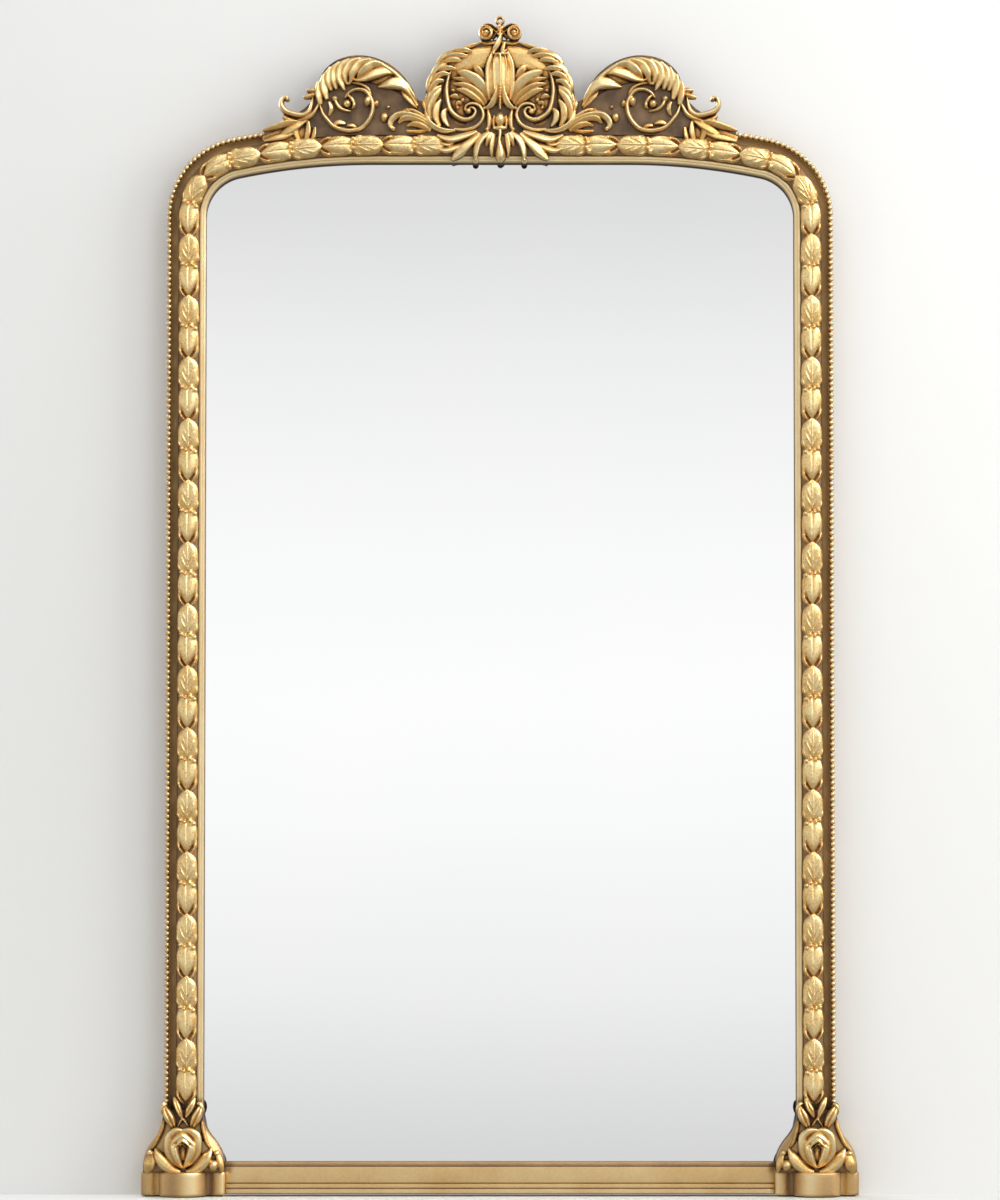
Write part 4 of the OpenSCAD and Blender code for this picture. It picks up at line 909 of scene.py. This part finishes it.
# From the rose's middle
ROSE = """
# Swells under the petals, then under the leaves at the sides
knob: 0 -6 25 30 14, 0 6 22 18 19, 1 -17 8 16 16, 47 -33 9 10 17, 52 -15 5.5 4.5 12, -49 -15 6.5 5 13
# Two outer petals, two long inner ones, the lips over them, the fold in the eye, a small arch on top
petal: 3 19 6 20, -8 19 13 22, -18 12 16 22, -21 -1 16 21, -19 -14 17 19, -11 -26 14 17, 0 -37 4 12
petal_back: -1 20 6 20, 10 19 13 22, 20 12 16 22, 22 -1 16 21, 20 -14 17 19, 12 -26 14 17, 1 -37 4 12
laurel: -15 6 8 22, -13 -5 15 25, -10 -18 14 24, -4 -30 9 20, 0 -37 3 13
laurel: 17 4 8 22, 15 -6 15 25, 12 -18 14 24, 6 -30 9 20, 1 -37 3 13
petal: -18 -1 5 24, -10 8 12 27, 0 14 13 28, 10 8 12 27, 20 -2 5 24
petal: -12 -4 4 26, -5 3 8 29, 0 7 9 30, 7 3 8 29, 13 -5 4 26
ridge: -6 -6 3 23, 0 0 5 26, 7 -6 3 23
ridge: -8 26 4 11, -3 34 6 15, 0 38 6 15, 4 34 6 15, 9 26 4 11
# Two long leaves under the rose, two at the sides, two above with rolled tips, two on top, the stalks
petal_back: -3 -43 7 9, -17 -38 18 15, -29 -28 22 18, -37 -17 15 17, -42 -7 3 10
petal: 5 -43 7 9, 19 -38 18 15, 31 -28 22 18, 39 -17 15 17, 44 -7 3 10
petal_back: -42 -14 7 9, -48 -22 16 13, -51 -33 19 14, -56 -45 7 7
petal: 51 -11 5 7, 56 -23 10 11, 59 -34 10 11, 61 -45 4 6
leaf: -13 23 8 10, -19 37 17 17, -25 49 14 16, -29 58 5 10
leaf: 13 23 8 10, 20 38 17 17, 25 50 13 16, 28 58 5 10
roll: -24 61 5 9, -29 59 8 13, -32 52 6 12, -31 44 3 7
roll: 22 61 5 9, 27 60 8 13, 30 53 6 12, 30 45 3 7
leaf: -1 38 4 9, -5 49 10 14, -10 61 10 13, -14 71 3 6
leaf: 5 40 4 9, 10 51 12 14, 15 61 10 13, 18 70 3 6
roll: 28 42 4 3, 31 20 7 5, 36 2 7 5, 44 -10 3 2
roll: -28 46 4 3, -31 26 7 5, -41 2 7 5, -50 -12 3 2
"""


def rose_and_plinth():
    plinth = joined("plinth_turned_left", base_block(), bell())
    reach = HALF_W + RABBET_W
    cut_box(plinth, (-reach, -RABBET_D, SIGHT_Z - RABBET_W), (reach, 5, SIGHT_Z + 200))
    rose = Carving(-STILE_X, ROSE_Z, PLINTH_D, sink=2)
    rose.cut(ROSE)
    bloom = paint_wear_and_shade(rose.finish("rose_carving_left", carved_gilding, 0.9), PLINTH_D, 0.76, relief_mm=24)
    dress_both(plinth, "gilt_wood", "plinth_left")
    dress_both(bloom, "gilt_carving", "rose_left")


rose_and_plinth()

# Crest: the tables hold its left half, from the middle of the frame and the top of the head
SHELL_SIDE = """
# Low smooth grounds under the leaves
roll: -76 70 10 3, -63 84 30 6, -46 95 42 8, -26 101 40 8, -6 104 38 7
roll: -56 -4 6 1, -60 6 28 2, -62 24 42 3, -62 46 44 4, -52 62 50 5, -36 72 50 5, -20 76 30 4
# Folds of the tulip-shaped cartouche
lobe: -11 109 5 16, -15 98 9 19, -18 84 10 19, -18 66 10 18, -17 48 9 16, -15 36 5 12
roll: -7 106 3 17, -10 92 4 20, -10 72 4 20.5, -9 54 4 19, -7 42 2 15
lobe: -4 62 4 18, -5 48 8 19, -8 37 11 18, -13 28 10 16, -20 23 6 12, -24 22 2 8
roll: -14 110 4 16, -9 107 4 19, -2 107 5 20
# Palm lobes that fan out to the left
lobe: -19 34 6 8, -25 52 15 13, -35 65 18 16, -49 74 16 16, -60 78 12 14, -67 79 4 9
lobe: -24 60 5 8, -29 74 11 12, -36 84 12 14, -42 89 5 10
lobe: -21 30 4 7, -30 42 9 10, -43 53 11 12, -58 59 9 13, -73 61 3 8
lobe: -38 56 4 7, -48 63 8 10, -60 68 8 11, -73 70 3 7
lobe: -23 25 4 6, -34 35 9 9, -49 46 10 12, -60 51 8 12, -68 52 3 8
lobe: -64 38 4 7, -70 42 8 11, -77 40 5 8
lobe: -60 29 4 7, -65 32 6 10, -68 27 4 7
# Folds of the neck under the cartouche
roll: -19 20 5 8, -17 10 9 11, -17 -2 9 11, -20 -13 6 9
roll: -9 12 4 8, -10 2 6 10, -9 -10 5 9
# Inner and outer scroll round the eye
roll: -76 82 3 8, -80 72 5 12, -83 56 7 14, -82 38 8 15, -77 20 8 16, -66 9 8 16, -53 5 8 16, -42 9 7 16,
 -38 17 6 15, -42 23 5 15, -48 23 4 14
roll: -55 19 4 10, -52 27 5 13, -42 30 6 14, -31 25 6 14, -26 13 7 14, -30 1 7 14, -40 -7 7 14,
 -56 -11 7 13, -72 -10 6 12
# The eye of the scroll and small buds
knob: -49 18 5.5 5.5 17, -58 36 4 4.5 10, -66 24 3.5 3.5 9, -73 51 4.5 3 9, -24 23 3 3 13
"""
# The middle of the cartouche, with a loose twist of leaf on top
SHELL_MIDDLE = """
roll: 0 112 20 10, 0 104 28 15, 0 92 40 18, 0 74 46 19, 0 56 43 18, 0 42 38 15, 0 30 32 10
roll: 0 108 6 19, 1 92 8 22.5, 1 72 8 22.5, 0 56 6 21
lobe: 2 136 5 16, -2 126 9 20, -7 116 9 21, -11 108 4 18
lobe_back: 7 126 4 16, 4 116 7 20, 3 109 5 20, 11 113 3 17
"""
# Two small bosses at the foot of the pearl string: x z rx rz height low
SHELL_BOSSES = "knob: 0 5 8 12 18 3, 0 -8 10 5 12 3"
PEARLS = 9
PEARL_Z = 22
PEARL_R = 2.4
PEARL_STEP = 4.3

WREATH = """
# The low ground, then two rows of leaflets from the top down
roll: -94 -6 18 4, -102 10 26 7, -103 34 28 8, -101 56 26 8, -92 78 24 8, -78 95 22 8, -62 106 18 8,
 -46 113 12 6
lobe: -30 126 2 6, -44 121 6 10, -58 116 5 9
lobe_back: -74 112 6 12, -64 113 9 16, -54 113 9 17, -43 111 4 13
lobe_back: -86 100 6 12, -76 104 10 16, -63 105 9 17, -50 104 4 13
lobe_back: -90 93 6 12, -80 97 8 16, -70 98 8 17, -61 97 4 13
lobe: -98 93 5 10, -88 104 9 13, -75 112 5 11
lobe_back: -100 80 5 12, -90 84 9 16, -78 85 8 17, -67 83 3 12
lobe: -107 70 5 10, -101 82 9 14, -91 91 8 14, -83 92 3 11
lobe_back: -106 61 5 12, -99 71 9 16, -89 76 9 17, -78 75 4 13
lobe: -110 46 5 10, -112 59 7 13, -108 72 6 12, -103 80 3 9
lobe_back: -109 44 6 12, -105 55 10 16, -97 64 9 17, -87 65 5 13
lobe_back: -113 24 6 11, -108 38 11 16, -100 50 10 17, -91 57 4 12
lobe: -115 18 4 9, -115 34 6 12, -112 46 4 10
lobe_back: -106 2 6 12, -109 20 10 16, -103 36 11 17, -95 47 7 15, -91 53 3 11
lobe_back: -93 -6 6 12, -99 8 12 16, -98 24 11 17, -91 36 4 12
lobe_back: -79 -6 4 11, -86 4 10 15, -87 15 10 16, -82 22 4 11
lobe: -69 -12 4 12, -86 -13 8 15, -102 -7 9 16, -113 5 8 15, -117 20 3 10
"""

# Lobes of the hood at each side, from its left foot over the top to the right
HOOD_LOBES = """
lobe: -281 64 8 13, -282 52 12 14, -281 40 12 15, -279 28 7 12
lobe: -273 75 8 15, -274 61 13 16, -272 48 12 16, -269 36 6 13
lobe: -262 86 9 16, -266 72 13 18, -265 60 12 17, -262 50 5 13
lobe: -248 93 10 17, -257 80 15 18, -257 64 13 18, -254 52 5 14
lobe: -233 97 10 17, -246 86 15 19, -249 70 14 19, -245 58 9 17, -241 50 3 13
lobe: -217 98 10 17, -232 91 15 19, -240 78 14 20, -240 67 9 18, -237 59 3 13
lobe: -202 97 10 17, -218 90 16 19, -228 78 14 21, -231 68 8 18, -235 59 3 13
lobe: -182 89 9 16, -196 91 14 18, -208 84 15 21, -217 75 10 19, -222 68 3 13
lobe_back: -160 76 5 9, -176 81 14 16, -193 77 17 20, -209 70 12 19, -220 67 7 17, -231 68 3 12
lobe_back: -128 26 4 8, -137 43 9 12, -147 56 16 17, -160 62 21 20, -175 60 15 19, -190 56 3 12
lobe_back: -129 23 3 6, -138 33 8 10, -147 43 9 11, -153 51 3 8
roll: -140 54 4 7, -152 69 5 10, -168 82 6 11, -184 91 6 11, -202 98 6 11
"""
# Sprays at the left end, leaves round the ring, and the long leaves towards the shell
SIDE_LEAVES = """
lobe_back: -302 4 5 9, -316 -5 11 12, -332 -14 12 11, -350 -25 3 4
lobe: -309 4 5 8, -318 -12 11 11, -308 -36 3 5
lobe_back: -299 3 5 8, -299 -15 10 11, -305 -38 3 5
lobe: -312 2 5 8, -328 0 11 11, -346 -5 11 10, -370 -12 3 4
lobe_back: -318 -14 5 9, -334 -20 10 11, -352 -24 9 10, -368 -28 3 5
lobe_back: -288 -6 4 7, -290 -20 8 10, -296 -34 3 5
roll: -338 12 5 9, -331 6 9 11, -320 5 6 8
lobe: -266 33 5 11, -262 22 8 13, -266 11 3 9
lobe: -260 -2 5 10, -250 1 9 12, -240 -1 4 9
lobe: -238 -4 5 10, -230 -4 7 12, -222 -7 3 8
roll: -258 40 5 10, -253 28 7 13, -245 21 6 12, -232 18 3 8
roll: -238 44 4 10, -231 38 7 13, -227 29 6 12, -230 22 3 9
roll: -301 51 5 9, -292 51 9 12, -282 49 6 10
roll: -306 40 5 9, -297 42 10 11, -284 46 7 10
lobe: -106 -6 6 10, -120 4 9 13, -134 10 10 15, -148 13 10 15, -160 11 11 15, -169 3 10 15, -170 -5 9 14,
 -164 -11 4 10
lobe: -106 -9 5 9, -124 2 9 13, -139 7 10 14, -151 6 9 13, -158 -1 4 9
lobe: -108 -13 4 8, -122 -5 9 12, -135 -2 8 11, -145 -5 3 7
lobe: -108 2 4 7, -124 12 8 11, -137 19 7 10, -149 22 2 6
lobe: -128 14 3 6, -146 18 6 9, -165 16 2 6
roll: -119 36 4 7, -118 28 9 11, -114 17 6 10
roll: -146 -12 5 5, -128 -13 8 7, -112 -11 5 6
"""
SIDE_ROLLS = """
# Low grounds under the hood and under the spray
roll: -276 46 14 4, -266 66 32 7, -246 80 42 9, -218 86 42 10, -190 80 40 9, -166 68 32 8, -145 50 20 6,
 -131 30 8 4
roll: -288 -14 10 2, -305 -14 24 4, -330 -17 26 5, -352 -22 20 4, -370 -24 8 2
# The rolled rim of the hood, the ring, the ribbon in it, the horn and its root
roll: -281 60 5 11, -274 72 8 14, -261 85 9 15, -247 93 9 16, -231 97.5 9 16, -214 99 9 16, -198 96.5 9 16,
 -182 89.5 9 16, -168 80.5 9 15, -155 69.5 8 15, -144 57.5 7 14, -135 44 6 13, -130 34 3 9
roll: -280 28 4 9, -276 15 6 13, -268 4 7 15, -258 -6 7 15, -244 -11 8 15, -230 -12 8 15, -216 -8 8 15,
 -205 3 8 16, -199 16 8 16, -198 30 8 16, -203 42 7 15, -212 51 7 15, -225 52 6 14, -235 47 6 13,
 -241 39 5 11
roll: -232 63 4 9, -216 60 6 12, -205 53 6 12, -200 43 4 9
roll: -328 35 3 10, -332 40 5 14, -338 37 7 15, -340 28 9 16, -334 19 10 16, -322 14 10 16, -307 12 9 15,
 -297 18 8 14, -293 28 6 12, -291 40 3 9
roll: -314 4 5 9, -302 7 8 12, -291 14 8 13, -285 24 6 12, -281 34 3 9
# Buds
knob: -180 9 7 8.5 13, -174 25 3.5 3.5 9, -257 38 5.5 5.5 14, -238 30 7 7 16, -227 28 4 6 13,
 -206 34 6.5 9 18, -192 31 4 7 12, -166 -9 4.5 4.5 13, -331 37 4 4 15, -333 8 5 6 9
"""

# The leaves of the drop stand higher than their table says, over the roll of the laurel
DROP_LIFT = 6
DROP_SIDE = """
lobe_back: -17 -14 6 9, -27 -23 11 13, -35 -35 12 15, -38 -49 9 15, -38 -58 4 13
lobe: -12 -16 6 9, -17 -26 10 13, -21 -37 4 9
lobe: -9 -18 5 9, -12 -32 8 14, -13 -44 7 13, -12 -53 3 9
lobe_back: -32 -16 6 9, -46 -30 14 14, -59 -42 18 15, -68 -51 14 12, -75 -58 4 8
lobe_back: -36 -13 6 9, -56 -21 12 14, -78 -26 12 14, -98 -19 4 9
lobe_back: -54 -30 6 8, -70 -39 11 12, -84 -43 10 12, -97 -40 4 9
lobe_back: -68 -28 5 7, -82 -34 8 11, -97 -29 3 8
knob: -38 -59 5 5 19, -20 -10 5 4 16
"""
PENDANT = """
roll: 0 -8 8 12, 0 -18 7 14, -1 -28 7 16, 0 -38 13 19, 1 -48 18 21, 1 -56 15 20, 0 -62 6 14
"""


def gilded(name, carving, worn, **relief):
    """Finishes a carving of the crest. The third argument is the level of wear and painted light at its
    middle height.
    """
    return paint_wear_and_shade(carving.finish(name, carved_gilding), carving.depth, worn, **relief)


def carve_crest():
    shell = Carving(0, CREST_Z, GROUND_D)
    shell.cut(SHELL_SIDE)
    shell.mirror()
    shell.cut(SHELL_MIDDLE)
    for i in range(PEARLS):
        shell.knob(0, PEARL_Z + PEARL_STEP * i, PEARL_R, PEARL_R, 19 + 0.4 * i, low=10)
    shell.cut(SHELL_BOSSES)
    dress(gilded("crest_shell_carving", shell, 0.78), "gilt_carving", "crest_shell")

    wreath = Carving(0, CREST_Z, GROUND_D)
    wreath.cut(WREATH)
    dress_both(gilded("wreath_left", wreath, 0.78), "gilt_carving", "crest_wreath_left")

    scroll = Carving(0, CREST_Z, GROUND_D)
    for table in (HOOD_LOBES, SIDE_LEAVES, SIDE_ROLLS):
        scroll.cut(table)
    dress_both(gilded("side_scroll_carving_left", scroll, 0.72), "gilt_carving", "side_scroll_left")

    drop = Carving(0, CREST_Z, BED_D, sink=3)
    drop.cut(DROP_SIDE, DROP_LIFT)
    drop.mirror()
    drop.cut(PENDANT)
    dress(gilded("crest_drop_carving", drop, 0.74), "gilt_carving", "crest_drop")


carve_crest()

# Finial: two rolled scrolls with a spiral face each, a knot between them and a ring on top
FINIAL_D = 32.0
# Middle of the left roll, its radius and the height of its face
ROLL_X = -22.0
ROLL_Z = 141.0
ROLL_R = 11.5
ROLL_FACE = 24.0
FACE_STEPS = 5
# Stalk under the roll, gutter over it, and the knot's side
FINIAL_SIDE = """
lobe: -30 128 5 12, -20 126 8 14, -8 127 8 14, 0 128 6 14
gutter: -27 152 4 20, -17 152 7 22, -7 146 8 22, 0 138 6 22
roll: -12 133 5 14, -6 141 6 19, 0 147 6 20
"""
# The knot's crossing and its upright
FINIAL_MIDDLE = """
roll: -6 150 4 18, -1 147 6 22, 6 152 4 18
roll: 0 128 8 18, 0 137 9 22, 0 148 7 20, 0 155 5 16
"""
RING_Z = 161.5
RING_R = 5.2
RING_WIRE = 4.4
RING_LIFT = 12.0


def ring_stroke(x, z, radius, width, height):
    """Points of a closed round stroke."""
    around = np.radians(range(0, 361, 15))
    return [(x + radius * math.cos(a), z + radius * math.sin(a), width, height) for a in around]


def carve_finial():
    top = Carving(0, CREST_Z, FINIAL_D, sink=0.5)
    # The face in thin steps, each smaller and higher than the last, which round its edge
    for i in range(FACE_STEPS):
        inset = 0.2 * i
        r = ROLL_R - inset
        top.knob(ROLL_X, ROLL_Z, r, r, ROLL_FACE - 3 + inset, low=ROLL_FACE - 5, rings=4, parts=28)
    # A spiral of one and a half turns that closes in by 6 mm
    turns = [(ROLL_R - 3.2 - 6.0 * a / 540, math.radians(a - 60)) for a in range(0, 541, 30)]
    spiral = [(ROLL_X + r * math.cos(a), ROLL_Z + r * math.sin(a), 4.2, ROLL_FACE + 2) for r, a in turns]
    top.stroke(spiral, steps=2)
    top.stroke(ring_stroke(ROLL_X, ROLL_Z, ROLL_R - 1.4, 3.4, ROLL_FACE + 1), steps=1)
    top.knob(ROLL_X, ROLL_Z, 3.4, 3.4, ROLL_FACE + 5, low=ROLL_FACE - 2)
    top.cut(FINIAL_SIDE)
    top.mirror()
    top.cut(FINIAL_MIDDLE)
    top.stroke(ring_stroke(0.0, RING_Z, RING_R, RING_WIRE, RING_LIFT), steps=1)
    dress(gilded("finial_carving", top, 0.62, relief_mm=30), "gilt_carving", "crest_finial")


carve_finial()

# Finishes of the solids that are carried as they are
FINISHES = {
    "mirror_plate": mirror_silver, "glass_cushion": packing_card, "backing_board": hardboard,
    "edge_blocks": setting_block, "joint_dowels": beech, "button_screws": zinc_steel,
    "hanger_strap_left": dull_brass, "hanger_strap_right": dull_brass, "d_ring_left": dull_brass,
    "d_ring_right": dull_brass, "hanger_screws": zinc_steel, "joint_plates": zinc_steel,
    "crest_brackets": zinc_steel, "plate_screws": zinc_steel, "wall_bumpers": black_rubber,
    "felt_pads": wool_felt, "crest_board": stained_pine, "crest_ground": umber_ground,
}
EVENLY_WORN = 0.6
for name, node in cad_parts.items():
    finish = FINISHES.get(name, zinc_steel if name.startswith("turn_button") else carved_gilding)
    node.data.materials.clear()
    node.data.materials.append(finish)
    if finish is carved_gilding:
        set_wear_and_painted_light(node.data, np.full(len(node.data.vertices), EVENLY_WORN))

# Studio, in metres
ROOM = 4.0
WALL_Y = 0.0095


def floor_material():
    """Pale matt floor paint."""
    material, tree, shader, _ = new_material("pale_floor")
    feed(tree, shader, {"Base Color": linear("#EDEDEA"), "Roughness": 0.8})
    return material


def wall_material():
    """Matt backdrop paper with painted shade, darker towards the key light to hold back the light it gets
    there; seen from the room side only.
    """
    material, tree, shader, place = new_material("graded_backdrop_paper")
    sideways = add(tree, "ShaderNodeSeparateXYZ", {0: place}).outputs["X"]
    # Painted shade: the paper darkens towards the key light on the right
    stops = [(0.2, "#EFEFED"), (0.3, "#DADAD8"), (0.45, "#B4B4B2"), (1.0, "#A0A09E")]
    along = add(tree, "ShaderNodeMapRange", {"Value": sideways, "From Max": ROOM})
    painted_shade = add(tree, "ShaderNodeValToRGB", {0: along}, stops)
    feed(tree, shader, {"Base Color": painted_shade, "Roughness": 0.9})
    clear = add(tree, "ShaderNodeBsdfTransparent")
    back = add(tree, "ShaderNodeNewGeometry").outputs["Backfacing"]
    mix = add(tree, "ShaderNodeMixShader", {0: back, 1: shader, 2: clear})
    feed(tree, next(n for n in tree.nodes if n.type == "OUTPUT_MATERIAL"), {"Surface": mix})
    return material


def studio_plane(name, corners, material):
    mesh = bpy.data.meshes.new(name)
    mesh.from_pydata(corners, [], [(0, 1, 2, 3)])
    mesh.materials.append(material)
    plane = linked(name, mesh)
    return plane


floor = studio_plane("floor", [(-ROOM, -ROOM, 0), (ROOM, -ROOM, 0), (ROOM, ROOM, 0), (-ROOM, ROOM, 0)],
                     floor_material())
wall_corners = [(-ROOM, WALL_Y, 0), (ROOM, WALL_Y, 0), (ROOM, WALL_Y, ROOM), (-ROOM, WALL_Y, ROOM)]
wall = studio_plane("wall", wall_corners, wall_material())
# Gloss doesn't see the floor, the wall, the key and the left softbox, so that the glass shows an even grey
floor.visible_glossy = False
for hidden in ("visible_diffuse", "visible_glossy", "visible_transmission", "visible_shadow"):
    setattr(wall, hidden, False)

LEFT_PLACE = (-2.8, -2.2, 1.4)
# (name, place, aim, (width, height), watts, seen by gloss)
LAMPS = [
    ("key_softbox", (3.3, -1.43, 1.99), (0, 0, 1.0), (2.2, 2.4), 67, False),
    ("front_softbox", (1.6, -3.4, 2.4), (0, 0, 1.0), (1.6, 1.2), 17, True),
    ("left_softbox", LEFT_PLACE, (-0.2, 0, 0.9), (0.8, 2.4), 7, False),
    ("top_softbox", (0, -1.6, 3.6), (0, 0, 1.2), (2.4, 0.8), 16, True),
    ("back_softbox", (-1.5, 2.6, 2.4), (0, 0, 1.0), (1.6, 1.6), 40, True),
]
for name, place, aim, (wide, high), power, in_gloss in LAMPS:
    light = bpy.data.lights.new(name, "AREA")
    put(light, {"shape": "RECTANGLE", "size": wide, "size_y": high, "energy": power})
    turn = (Vector(aim) - Vector(place)).to_track_quat("-Z", "Y").to_euler()
    put(linked(name, light), {"location": place, "rotation_euler": turn, "visible_glossy": in_gloss})

# What gloss sees of the room, from straight down to straight up: brightest at the horizon
GLOSS_ROOM = [(0.0, 0.22), (0.38, 0.4), (0.473, 0.69), (0.488, 0.87), (0.505, 0.975), (0.517, 1.0),
              (0.533, 0.965), (0.55, 0.875), (0.565, 0.74), (0.6, 0.6), (0.75, 0.5), (1.0, 0.42)]
# Soft glows that stand for the two hidden softboxes: (place, cosine at the rim, cosine at the heart,
# strength). The key's stands high on the right, above what the glass shows from a person's height
GLOWS = [((3.3, -1.43, 3.7), 0.87, 0.985, 5.6), (LEFT_PLACE, 0.84, 0.98, 0.16)]
GLASS_MIDDLE = Vector((0, 0, 1))
SOFT_STRENGTH = 0.54


def studio_world():
    """White room: even for soft light, a gradient with two glows for gloss, pale grey for the camera."""
    world = bpy.data.worlds.new("white_studio")
    bpy.context.scene.world = world
    tree = bare_tree(world)
    way = add(tree, "ShaderNodeTexCoord").outputs["Generated"]
    height = add(tree, "ShaderNodeSeparateXYZ", {0: way}).outputs["Z"]
    lift = add(tree, "ShaderNodeMapRange", {"Value": height, "From Min": -1.0, "From Max": 1.0})
    light = add(tree, "ShaderNodeValToRGB", {0: lift}, GLOSS_ROOM)
    for place, rim, heart, peak in GLOWS:
        aim = (Vector(place) - GLASS_MIDDLE).normalized()
        towards = add(tree, "ShaderNodeVectorMath", {0: way, 1: aim}, operation="DOT_PRODUCT")
        limits = {"Value": towards.outputs["Value"], "From Min": rim, "From Max": heart, "To Max": peak}
        glow = add(tree, "ShaderNodeMapRange", limits, interpolation_type="SMOOTHERSTEP")
        light = add(tree, "ShaderNodeVectorMath", {0: light, 1: glow}, operation="ADD")
    soft = add(tree, "ShaderNodeBackground", {"Color": (1, 1, 1, 1), "Strength": SOFT_STRENGTH})
    gloss = add(tree, "ShaderNodeBackground", {"Color": light, "Strength": 1.0})
    seen = add(tree, "ShaderNodeBackground", {"Color": linear("#EFEFEC"), "Strength": 1.0})
    path = add(tree, "ShaderNodeLightPath").outputs
    lit = add(tree, "ShaderNodeMixShader", {0: path["Is Glossy Ray"], 1: soft, 2: gloss})
    shown = add(tree, "ShaderNodeMixShader", {0: path["Is Camera Ray"], 1: lit, 2: seen})
    add(tree, "ShaderNodeOutputWorld", {"Surface": shown})


studio_world()

# Camera: 8 m away, half a metre up and pitched up slightly
CAMERA_AWAY = 8.0
CAMERA_PITCH = math.radians(3.0)
AIM_Z = 0.922
PICTURE_TALL = 1.866
SENSOR_MM = 36.0
camera_data = bpy.data.cameras.new("camera")
camera_data.sensor_width = SENSOR_MM
camera_data.lens = SENSOR_MM * CAMERA_AWAY / PICTURE_TALL
camera = linked("camera", camera_data)
camera.location = (0.0, -CAMERA_AWAY, AIM_Z - CAMERA_AWAY * math.tan(CAMERA_PITCH))
camera.rotation_euler = (math.pi / 2 + CAMERA_PITCH, 0, 0)
bpy.context.scene.camera = camera
bpy.context.scene.view_settings.view_transform = "Standard"
